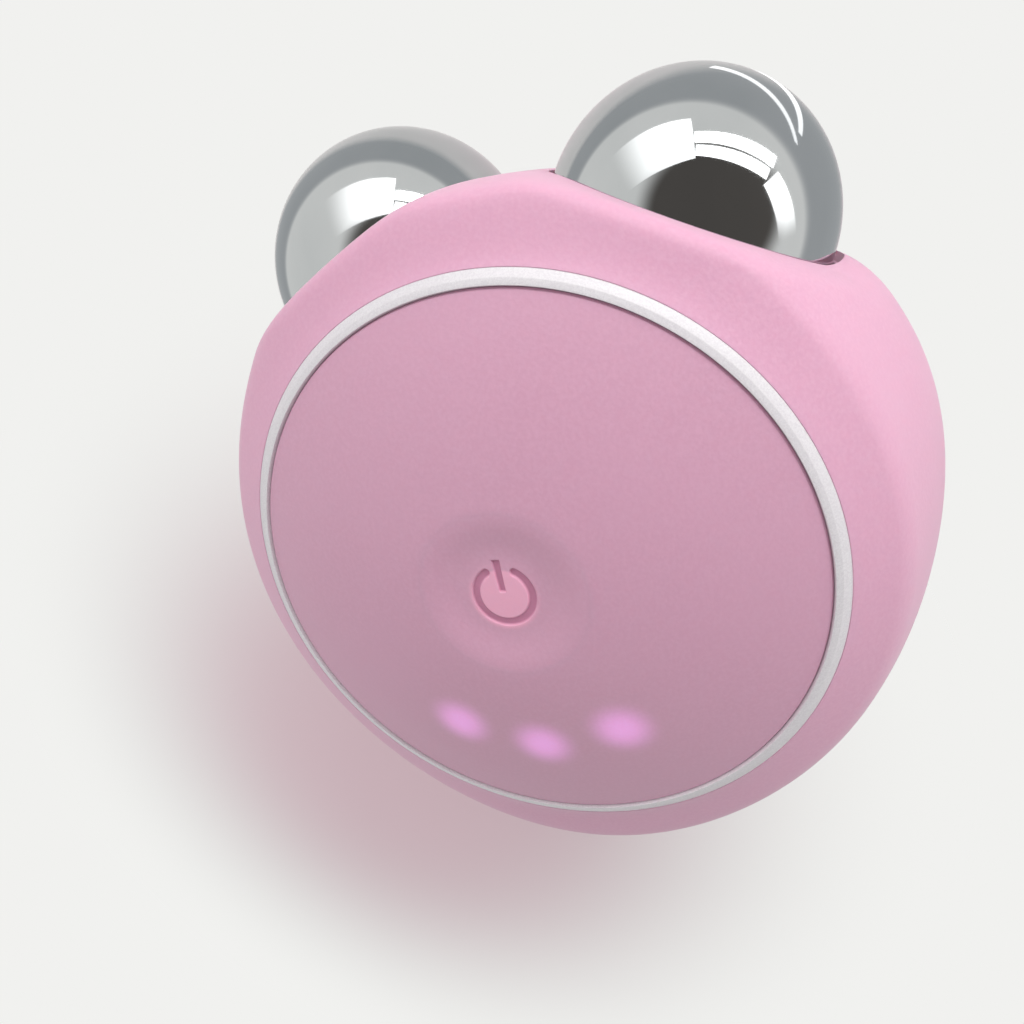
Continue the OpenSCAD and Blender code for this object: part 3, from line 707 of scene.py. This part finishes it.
def painted_symbol_light(x, y):
    """Painted light round the key's symbol, by how much the key's colour is brightened: 1 inside the symbol's
    ring, a painted glow, and outside it a painted highlight along the rim that falls off as exp(-(distance /
    reach)^2), strongest towards the jack."""
    f = bpy.context.scene.toner_face
    y = y - f.key_y + SYMBOL_DROP
    radius = np.hypot(x, y)
    inside = ease((f.symbol_r - 0.4 * f.symbol_line - radius) / 0.3)
    facing = 0.55 - 0.45 * np.divide(y + 0.4 * x, radius, out=np.zeros_like(y), where=radius > TINY)
    outside = np.exp(-(np.maximum(radius - f.symbol_r, 0) / PAINTED_RIM_HIGHLIGHT_REACH) ** 2)
    return np.maximum(inside, np.clip(facing, 0, 1) * outside * (radius > f.symbol_r - 0.2))


class TONER_OT_pad(bpy.types.Operator):
    """Make the domed silicone pad, up to the edge of the key"""

    bl_idname = "toner.pad"
    bl_label = "Face Pad"

    def execute(self, context):
        f = context.scene.toner_face
        a = around(FACE_COLUMNS)
        t = np.concatenate([np.linspace(0, 0.12, 10)[:-1], np.linspace(0.12, 0.975, 46)])
        edge_r = f.pad_r - PAD_EDGE

        def circles(share, radius):
            """Circles whose middle goes from the key's to the pad's as share goes from 0 to 1."""
            x = np.outer(radius, np.cos(a))
            return x, np.outer(radius, np.sin(a)) + (f.key_y * (1 - share))[:, None]

        x, y = circles(t / t[-1], f.key_r + (edge_r - f.key_r) * t / t[-1])
        top = np.stack([x, y, dome_height(x, y)], axis=-1)
        rim_z = dome_height(edge_r, 0.0)
        slope = 2 * (f.pad_crown - f.pad_edge_rise) / f.pad_r
        edge = [(edge_r, rim_z), (f.pad_r, rim_z - (f.pad_r - edge_r) * slope), (f.pad_r, rim_z - 0.28)]
        flare, (foot_r, hollow_r) = f.pad_r + PAD_FLARE, PAD_HOLLOW
        below = [(flare, rim_z - 0.36), (flare, PAD_FOOT), (foot_r, PAD_FOOT)]
        wall = turned(joined(rounded(edge, 0.1, 5)[1:], below), FACE_COLUMNS)
        share = np.linspace(0, 1, 24)
        x, y = circles(1 - share, hollow_r + (f.key_r + KEY_ROOM - hollow_r) * share)
        under = np.stack([x, y, dome_height(x, y) - f.pad_t], axis=-1)
        pad = grid_piece("face_dome", np.concatenate([top, wall, under]), loop_rows=True, smooth_angle=35)
        skin = silicone("moulded_silicone_rose", pad_colours(), lights=True)
        finish_piece(pad, HOUSING, "pad_silicone", skin, "face_pad")
        return {"FINISHED"}


class TONER_OT_key(bpy.types.Operator):
    """Make the power key: the dimpled middle of the pad, with the symbol pressed into it"""

    bl_idname = "toner.key"
    bl_label = "Power Key"

    def execute(self, context):
        s, f = context.scene.toner_body, context.scene.toner_face
        a = around(FACE_COLUMNS)
        r = np.concatenate([[0], np.arange(0.06, 3.2, 0.06), np.linspace(3.2, f.key_r, 26)])
        x, y = np.outer(r, np.cos(a)), np.outer(r, np.sin(a)) + f.key_y
        groove = symbol_depth(x, y)
        top = np.stack([x, y, dome_height(x, y) - f.groove_depth * groove], axis=-1)
        draw_in = (f.key_r - KEY_DRAFT) / f.key_r
        floor_z = np.full((2, FACE_COLUMNS), s.face_z + KEY_FLOOR)
        share = np.array([[draw_in], [0.0]])
        under = np.stack([x[-1:] * share, (y[-1:] - f.key_y) * share + f.key_y, floor_z], axis=-1)
        key = grid_piece("key_cap", np.concatenate([top, under]), (True, True), smooth_angle=60)
        # painted shade: the groove's mask also darkens the groove's floor in the key's colour; painted light:
        # a glow and a highlight round the symbol
        for name, values in (("groove", groove), ("painted_symbol_light", painted_symbol_light(x, y))):
            flat = np.concatenate([values[0, :1], values[1:].ravel(), np.zeros(FACE_COLUMNS + 1)])
            shade = key.data.attributes.new(name, "FLOAT", "POINT")
            shade.data.foreach_set("value", flat.astype(np.float32))
        finish_piece(key, KEY_BODY, "pad_silicone", key_silicone(), "power_key")
        return {"FINISHED"}


def pad_colours():
    """The three tones of the pad's silicone."""
    c = bpy.context.scene.toner_colours
    return c.pad_dark, c.pad_pink, c.pad_pale


def key_silicone():
    """The pad's silicone with the same grain, with painted shade on the floor of the symbol's groove, a
    painted glow inside the symbol that stands in for light from behind the key, and a painted highlight along
    the symbol's outer edge."""
    c = bpy.context.scene.toner_colours
    material = silicone("moulded_silicone_rose_key", pad_colours())
    tree = material.node_tree
    shader = next(n for n in tree.nodes if n.type == "BSDF_PRINCIPLED")
    plain = shader.inputs["Base Color"].links[0].from_socket
    light = node(tree, "ShaderNodeAttribute", attribute_name="painted_symbol_light").outputs["Fac"]
    groove = node(tree, "ShaderNodeAttribute", attribute_name="groove").outputs["Fac"]
    # painted shade on the groove's floor, over the painted glow and painted highlight round the symbol
    tone = mixed(tree, groove, mixed(tree, light, plain, c.painted_symbol_glow), c.groove)
    tree.links.new(tone, shader.inputs["Base Color"])
    return material


# ---------------------------------------------------------------- the balls

class TONER_OT_balls(bpy.types.Operator):
    """Make the two chromed balls, each with a bore for its stud"""

    bl_idname = "toner.balls"
    bl_label = "Balls"

    def execute(self, context):
        b = context.scene.toner_ball
        plate = chrome()
        bore_r, bore_depth = STUD_BORE
        bore_end = -b.ball_r + bore_depth
        outer_low = -math.degrees(math.acos(bore_r / b.ball_r))
        profile = joined(arc((0, 0), b.ball_r, 90, outer_low, 120), [(bore_r, bore_end), (0, bore_end)])
        profile[0, 0] = 0
        for side, name in ((-1, "left"), (1, "right")):
            grid = placed(turned(profile, 240), ball_frame(side))
            ball = grid_piece(f"{name}_chrome_ball", grid, (True, True))
            finish_piece(ball, HOUSING, "chrome", plate, f"{name}_ball")
        return {"FINISHED"}


# ---------------------------------------------------------------- carried-over nodes

def inner_materials():
    """The finishes of the CAD nodes that keep their shape, by the record's slot name."""
    return {
        "case_plastic": moulded("moulded_abs_offwhite", "#D9D8D2", "#E2E1DC", 0.3, (0.38, 0.5)),
        "black_rubber": moulded("nitrile_rubber_black", "#1C1C1D", "#262627", 0.2, (0.55, 0.7), 0.015),
        "steel": turned_metal("turned_stainless_steel", "#B9BBBD", "#CBCDCF"),
        "natural_nylon": moulded("machined_nylon_natural", "#E4DEC8", "#EDE8D6", 0.2, (0.4, 0.55), ior=1.53),
        "brass": turned_metal("turned_brass", "#C9A556", "#D9B968"),
        "black_wire": moulded("pvc_wire_black", "#151516", "#202021", 0.1, (0.35, 0.45)),
        "red_wire": moulded("pvc_wire_red", "#9E1B1B", "#B22424", 0.1, (0.35, 0.45)),
        "blue_wire": moulded("pvc_wire_blue", "#1F3F8F", "#2A4DA3", 0.1, (0.35, 0.45)),
        "board_green": moulded("solder_mask_green", "#12502D", "#186139", 0.8, (0.25, 0.35), 0.02),
        "chip_black": moulded("epoxy_moulded_black", "#1B1C1E", "#25262A", 0.15, (0.5, 0.65)),
        "light_white": moulded("silicone_lens_white", "#E9E6DC", "#F3F0E8", 0.3, (0.3, 0.4)),
        "clear_plastic": moulded(
            "moulded_polycarbonate_clear", "#E6EAEB", "#EFF2F3", 0.4, (0.1, 0.15), ior=1.58),
        "pouch_foil": turned_metal("embossed_pouch_foil", "#BFC2C4", "#CFD2D4", 0.6, (0.3, 0.42), (1, 1, 1)),
        "grey_foam": moulded("cellular_foam_grey", "#5F6163", "#777A7C", 0.5, (0.85, 0.95), 0.1),
        "dark_metal": turned_metal("sintered_tungsten", "#55585B", "#66696C", 0.2, (0.4, 0.5), (1, 1, 1)),
        "jack_plastic": moulded("moulded_nylon_black", "#202022", "#2B2B2E", 0.25, (0.45, 0.55)),
    }


class TONER_OT_inner(bpy.types.Operator):
    """Give every CAD node that keeps its shape its own finish"""

    bl_idname = "toner.inner"
    bl_label = "Inner Finishes"

    def execute(self, context):
        finishes = inner_materials()
        slots = node_slots()
        for name, piece in frame["nodes"].items():
            finish = finishes.get(slots[name])
            if finish is None:
                continue
            if not piece.data.materials:
                piece.data.materials.append(finish)
            for held in piece.material_slots:
                held.material = finish
        return {"FINISHED"}


def node_slots():
    """Each node's material slot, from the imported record."""
    return {part["node"]: part["material_slot"] for part in frame["record"]["subparts"]}


# ---------------------------------------------------------------- the stage

def studio_direction(azimuth, elevation):
    """The unit vector at an azimuth from +X towards +Y and an elevation above the floor, in degrees."""
    a, e = math.radians(azimuth), math.radians(elevation)
    return Vector((math.cos(e) * math.cos(a), math.cos(e) * math.sin(a), math.sin(e)))


def area_lamp(name, width, height, place, turn):
    """A rectangular lamp of a size and at a place in millimetres, which the camera doesn't see."""
    lamp = bpy.data.lights.new(name, "AREA")
    lamp.shape = "RECTANGLE"
    lamp.size, lamp.size_y = width * MM, height * MM
    holder = bpy.data.objects.new(name, lamp)
    holder.location, holder.rotation_euler = Vector(place) * MM, turn
    holder.visible_camera = False
    bpy.context.collection.objects.link(holder)
    return lamp, holder


def soft_lamp(name, azimuth, elevation, span, roll, fade, mirrored, power):
    """A rectangular lamp that looks at the object from LAMP_DISTANCE away. Span is its width and height as
    the object sees them and roll lifts its far end, in degrees. Its light fades out over a share of its
    width, towards one end where fade is above 0 and the other where it is below. Metal sees it where it is
    mirrored."""
    width, height = (2 * LAMP_DISTANCE * math.tan(math.radians(s / 2)) for s in span)
    towards = studio_direction(azimuth, elevation)
    turn = towards.to_track_quat("Z", "Y") @ Quaternion((0, 0, 1), math.radians(roll))
    place = towards * LAMP_DISTANCE + Vector(LAMP_TARGET)
    lamp, holder = area_lamp(name, width, height, place, turn.to_euler())
    lamp.energy = power
    holder.visible_glossy = mirrored
    if fade:
        lamp.use_nodes = True
        tree = lamp.node_tree
        tree.nodes.clear()
        across = node(tree, "ShaderNodeNewGeometry").outputs["Parametric"]
        along = node(tree, "ShaderNodeSeparateXYZ", {"Vector": across}).outputs["X"]
        end = 0 if fade > 0 else 1
        level = number_between(tree, along, 0, 1, end, end + fade, "SMOOTHSTEP")
        light = node(tree, "ShaderNodeEmission", {"Strength": level})
        node(tree, "ShaderNodeOutputLight", {"Surface": light.outputs[0]})


def strip_lamp(name, start, end, width):
    """A thin lamp that lies on the floor from start to end and shines up. Its power is its radiance times pi
    times its area, far too little to light anything: it only shows in the balls."""
    run = Vector(end) - Vector(start)
    middle = (Vector(start) + Vector(end)) / 2
    lamp, _ = area_lamp(name, run.length, width, (*middle, STRIP_Z), (math.pi, 0, -math.atan2(run.y, run.x)))
    lamp.energy = STRIP_LEVEL * math.pi * lamp.size * lamp.size_y


def seen_rays(tree):
    """1 for a ray that shows the background as it is seen: from the camera, or by way of metal or glass."""
    ray = node(tree, "ShaderNodeLightPath").outputs
    metal = maths(tree, "MAXIMUM", ray["Is Camera Ray"], ray["Is Glossy Ray"])
    return maths(tree, "MAXIMUM", metal, ray["Is Transmission Ray"])


def fade_out(tree, place, middle, inner, outer):
    """0 within inner of a point of the floor, 1 beyond outer, in millimetres, and a soft change between."""
    reach = node(tree, "ShaderNodeVectorMath", {0: place, 1: Vector(middle) * MM}, operation="DISTANCE")
    return number_between(tree, reach.outputs["Value"], 0, 1, inner * MM, outer * MM, "SMOOTHERSTEP")


def pale_floor_material():
    """Matt white laminate that fades into the plain background further out. Near the object it is lit as it
    is, so it keeps the shadow, and there a pink tint is painted into its colour as painted bounce light from
    the pink body. The camera sees this round the shadow's middle, and metal round the balls, with a greyer
    ring beyond it."""
    material, tree, shader, place = new_material("matt_white_laminate")
    # painted bounce light: the floor's colour goes pink towards the shadow's middle
    painted_bounce = fade_out(tree, place, SHADOW_MIDDLE, 0, SHADOW_OUTER)
    feed(tree, shader, {"Base Color": mixed(tree, painted_bounce, linear(PAINTED_PINK_BOUNCE), linear(FLOOR_WHITE)),
                        "Roughness": 0.6, "Specular IOR Level": 0.2})
    camera_ray = node(tree, "ShaderNodeLightPath").outputs["Is Camera Ray"]
    camera_fade = fade_out(tree, place, SHADOW_MIDDLE, SHADOW_INNER, SHADOW_OUTER)
    metal_fade = fade_out(tree, place, GREY_MIDDLE, *GREY_START)
    far = maths(tree, "MAXIMUM", fade_out(tree, place, GREY_MIDDLE, *GREY_END), camera_ray)
    plain = node(tree, "ShaderNodeEmission", {
        "Color": mixed(tree, far, linear(TABLE_GREY), linear(BACKGROUND)), "Strength": 1.0})
    fade = node(tree, "ShaderNodeMix", {
        "Factor": camera_ray, 2: metal_fade, 3: camera_fade}, data_type="FLOAT").outputs[0]
    share = maths(tree, "MULTIPLY", fade, seen_rays(tree))
    mix = node(tree, "ShaderNodeMixShader", {0: share, 1: shader.outputs[0], 2: plain.outputs[0]})
    out = next(n for n in tree.nodes if n.type == "OUTPUT_MATERIAL")
    tree.links.new(mix.outputs[0], out.inputs["Surface"])
    return material


def studio_world(level):
    """An even light from all round. What is seen of it is the pale background with a dark flag overhead."""
    world = bpy.data.worlds.new("soft_studio")
    world.use_nodes = True
    tree = world.node_tree
    tree.nodes.clear()
    even = node(tree, "ShaderNodeBackground", {"Color": linear(ROOM_WHITE), "Strength": level})
    sky = node(tree, "ShaderNodeTexCoord").outputs["Generated"]
    near = node(tree, "ShaderNodeVectorMath", {
        0: sky, 1: studio_direction(*FLAG_MIDDLE)}, operation="DOT_PRODUCT")
    start, end = (math.cos(math.radians(FLAG_REACH + soft)) for soft in (FLAG_SOFT, -FLAG_SOFT))
    flag = number_between(tree, near.outputs["Value"], 0, 1, start, end, "SMOOTHSTEP")
    tone = mixed(tree, flag, linear(BACKGROUND), linear(FLAG_GREY))
    seen = node(tree, "ShaderNodeBackground", {"Color": tone, "Strength": 1.0})
    mix = node(tree, "ShaderNodeMixShader", {0: seen_rays(tree), 1: even.outputs[0], 2: seen.outputs[0]})
    node(tree, "ShaderNodeOutputWorld", {"Surface": mix.outputs[0]})
    return world


class TONER_OT_stage(bpy.types.Operator):
    """Set the camera, the pale floor and the soft lamps"""

    bl_idname = "toner.stage"
    bl_label = "Stage"

    def execute(self, context):
        st = context.scene.toner_stage
        camera = bpy.data.cameras.new("photo_camera")
        camera.sensor_width = SENSOR
        camera.sensor_fit = "HORIZONTAL"
        camera.lens = st.focal_px / PICTURE_WIDTH * SENSOR
        camera.clip_start = 0.004
        camera.clip_end = 10.0
        eye = bpy.data.objects.new("photo_camera", camera)
        right, up, ahead = (Vector(v) for v in (CAMERA_RIGHT, CAMERA_UP, CAMERA_AHEAD))
        turn = Matrix((right, up, -ahead)).transposed().to_4x4()
        eye.matrix_world = Matrix.Translation(Vector(CAMERA_AT) * MM) @ turn
        context.collection.objects.link(eye)
        context.scene.camera = eye

        half = FLOOR_HALF
        corners = np.array([(-half, -half, 0), (half, -half, 0), (half, half, 0), (-half, half, 0)], float)
        floor = mesh_piece("pale_floor", corners, [np.array([[0, 1, 2, 3]])])
        floor.data.materials.append(pale_floor_material())

        context.scene.world = studio_world(st.room_level)
        for *lamp, share in LAMPS:
            soft_lamp(*lamp, share * st.lamp_power)
        for strip in STRIPS:
            strip_lamp(*strip)
        context.scene.view_settings.view_transform = "Standard"
        return {"FINISHED"}


# ---------------------------------------------------------------- sizes and colours that a user would change

def length(name, text, value, low, high):
    """A size in millimetres."""
    return FloatProperty(name=name, description=f"{text}, in millimetres", default=value, min=low, max=high,
                         step=10, precision=2, subtype="DISTANCE_CAMERA")


def angle(name, text, *degrees):
    """An angle, whose default and limits are given in degrees and kept in radians."""
    value, low, high = (math.radians(d) for d in degrees)
    return FloatProperty(name=name, description=text, default=value, min=low, max=high, subtype="ANGLE")


def number(name, text, value, low, high, subtype="FACTOR"):
    """A share, or a number with a unit of its own."""
    return FloatProperty(name=name, description=text, default=value, min=low, max=high, subtype=subtype)


def colour(name, text, hex_colour):
    """A colour, given as sRGB hex and kept linear."""
    return FloatVectorProperty(name=name, description=text, default=linear(hex_colour), size=4, min=0, max=1,
                               subtype="COLOR")


class BodySizes(bpy.types.PropertyGroup):
    """The silicone body's sizes"""

    body_r: length("Body radius", "Half the body's width", 31.9, 31, 33)
    stretch_up: length("Stretch to the balls", "Extra length towards the balls", 0.9, 0, 2)
    stretch_down: length("Stretch to the jack", "Extra length towards the jack", 1.1, 0, 2)
    mid_z: length("Widest height", "Height of the body's widest line", 18.0, 16, 20)
    face_z: length("Face height", "Height of the ring's outer edge", 35.5, 34, 37)
    shoulder_r: length("Edge radius", "Radius of the front edge before it is softened", 29.05, 28, 30)
    shoulder_z: length("Edge height", "Height of that edge", 32.55, 32, 33.5)
    opening_r: length("Opening radius", "Radius of the recess that takes the ring", 24.98, 24.95, 25.5)
    shoulder_up: length("Edge to the balls", "Extra length of the front edge towards the balls", 0.5, 0, 2)
    shoulder_down: length("Edge to the jack", "Extra length of the front edge towards the jack", 0.6, 0, 2)
    cheek: length("Cheek", "Swelling of the side below each ball", 0.7, 0, 1.5)
    cheek_at: angle("Cheek place", "Angle of the cheek's middle past the side", 17, 0, 40)
    cheek_reach: angle("Cheek reach", "Angle over which the cheek fades", 22, 5, 40)
    ear: length("Ear", "How far the outer end of each rim stands up round its ball", 1.0, 0, 2)
    brow: length("Brow", "Swelling of the front edge before each ball", 0.75, 0, 2)
    saddle_round: number("Saddle rounding", "As a share of its distance from the middle", 0.06, 0.01, 0.2)
    rim_round: number("Rim rounding", "As a share of the rims' distance from the middle", 0.05, 0.01, 0.2)


class FaceSizes(bpy.types.PropertyGroup):
    """The sizes of the ring, the pad and the key"""

    ring_r: length("Ring radius", "Outer radius of the white ring", 25.0, 24, 25.2)
    ring_bevel: length("Ring bevel", "Width of the ring's outer bevel", 0.62, 0.2, 1)
    pad_r: length("Pad radius", "Radius of the domed pad", 23.6, 23, 24)
    pad_edge_rise: length("Pad edge", "Height of the pad's edge above the ring's outer edge", 0.5, 0, 2)
    pad_crown: length("Pad crown", "Height of the pad's crown above the ring's outer edge", 6.2, 4, 8)
    pad_t: length("Pad thickness", "Thickness of the pad's membrane", 1.8, 1, 2.5)
    key_r: length("Key radius", "Radius of the key", 6.9, 6, 7.5)
    key_y: length("Key height", "Distance of the key above the middle of the face", 1.35, 0, 3)
    dimple_depth: length("Dimple depth", "Depth of the key's dimple", 0.8, 0, 1.5)
    dimple_floor: length("Dimple floor", "Radius of the dimple's flat middle", 2.4, 0, 5)
    dimple_reach: length("Dimple reach", "Radius at which the dimple fades out", 7.8, 6, 10)
    symbol_r: length("Symbol radius", "Outer radius of the power symbol", 2.6, 2, 3)
    symbol_line: length("Symbol line", "Width of the symbol's line", 0.62, 0.3, 1)
    symbol_gap: angle("Symbol opening", "Half the angle of the symbol's opening", 30, 10, 60)
    bar_low: length("Bar start", "Lower end of the symbol's bar above its middle", 0.38, 0, 2)
    bar_high: length("Bar end", "Upper end of the symbol's bar above its middle", 3.0, 2, 4)
    groove_depth: length("Groove depth", "Depth of the symbol's groove", 0.2, 0.1, 0.6)
    groove_wall: length("Groove wall", "Width of the groove's sloping wall", 0.16, 0.05, 0.3)


class BallSizes(bpy.types.PropertyGroup):
    """The sizes of the balls and their pockets"""

    ball_r: length("Ball radius", "Radius of each ball", 12.0, 11, 13)
    pocket_gap: length("Pocket gap", "Gap between a ball and its pocket", 0.12, 0.1, 0.6)
    mouth_gap: length("Mouth gap", "How much wider each pocket is at its mouth", 0.35, 0, 1)
    mouth_round: length("Mouth rounding", "Radius of the rounded edge of each pocket", 0.2, 0.1, 1.5)


class Colours(bpy.types.PropertyGroup):
    """The colours that show"""

    body_dark: colour("Body, dark clouds", "Silicone of the body, darker tone", "#E5A8C5")
    body_pink: colour("Body", "Silicone of the body", "#E8ADC9")
    body_pale: colour("Body, pale grain", "Silicone of the body, paler tone of its grain", "#EAB2CC")
    pad_dark: colour("Pad, dark clouds", "Silicone of the pad and the key, darker tone", "#DAA2BC")
    pad_pink: colour("Pad", "Silicone of the pad and the key", "#DDA6C0")
    pad_pale: colour("Pad, pale grain", "Silicone of the pad and the key, paler tone of its grain", "#DFAAC3")
    # painted light: the key's colour inside the symbol and at its rim, as a painted glow and painted highlight
    painted_symbol_glow: colour("Symbol's glow", "Key inside the symbol and at its rim", "#FCB6D1")
    # painted shade: the darker colour of the groove's floor
    groove: colour("Groove", "Floor of the symbol's groove", "#D088A8")
    lights: colour("Lights", "The three lights behind the pad", "#E58CF0")
    ring_dark: colour("Ring, dark flakes", "Pearl lacquer, darker flakes", "#E2DDE1")
    ring_pale: colour("Ring, pale flakes", "Pearl lacquer, paler flakes", "#ECE8EB")
    chrome_dark: colour("Chrome, dark", "Chromium plate, darker tone", "#C2C5C6")
    chrome_pale: colour("Chrome, pale", "Chromium plate, paler tone", "#CACCCD")


class StageSettings(bpy.types.PropertyGroup):
    """The camera's and the lamps' settings"""

    focal_px: number("Focal length", "In pixels of a picture 1024 wide", 920.0, 300, 4000, "PIXEL")
    room_level: number("Room level", "Strength of the even light from all round", 0.45, 0, 2)
    lamp_power: number("Lamps", "Power of all the lamps together", 5.2, 0, 100, "POWER")


class TONER_PT_panel(bpy.types.Panel):
    """Sizes, colours and buttons of the toning device"""

    bl_idname = "TONER_PT_panel"
    bl_label = "Toning Device"
    bl_space_type = "VIEW_3D"
    bl_region_type = "UI"
    bl_category = "Toning Device"

    def draw(self, context):
        """Lists every setting, then a button for each step."""
        for place, group in GROUPS:
            box = self.layout.box()
            for name in group.__annotations__:
                box.prop(getattr(context.scene, place), name)
        for step in STEPS:
            self.layout.operator(step.bl_idname)


STEPS = (TONER_OT_stage, TONER_OT_sleeve, TONER_OT_ring, TONER_OT_pad, TONER_OT_key, TONER_OT_balls,
         TONER_OT_inner)
GROUPS = (("toner_body", BodySizes), ("toner_face", FaceSizes), ("toner_ball", BallSizes),
          ("toner_colours", Colours), ("toner_stage", StageSettings))


def register():
    """Registers the settings, the operators and the panel."""
    for name, group in GROUPS:
        bpy.utils.register_class(group)
        setattr(bpy.types.Scene, name, PointerProperty(type=group))
    for step in STEPS + (TONER_PT_panel,):
        bpy.utils.register_class(step)


def unregister():
    """Takes them all away again."""
    for step in STEPS + (TONER_PT_panel,):
        bpy.utils.unregister_class(step)
    for name, group in GROUPS:
        delattr(bpy.types.Scene, name)
        bpy.utils.unregister_class(group)


def main():
    register()
    bpy.ops.toner.stage()
    bpy.ops.toner.sleeve()
    bpy.ops.toner.ring()
    bpy.ops.toner.pad()
    bpy.ops.toner.key()
    bpy.ops.toner.balls()
    bpy.ops.toner.inner()


if __name__ == "__main__":
    main()
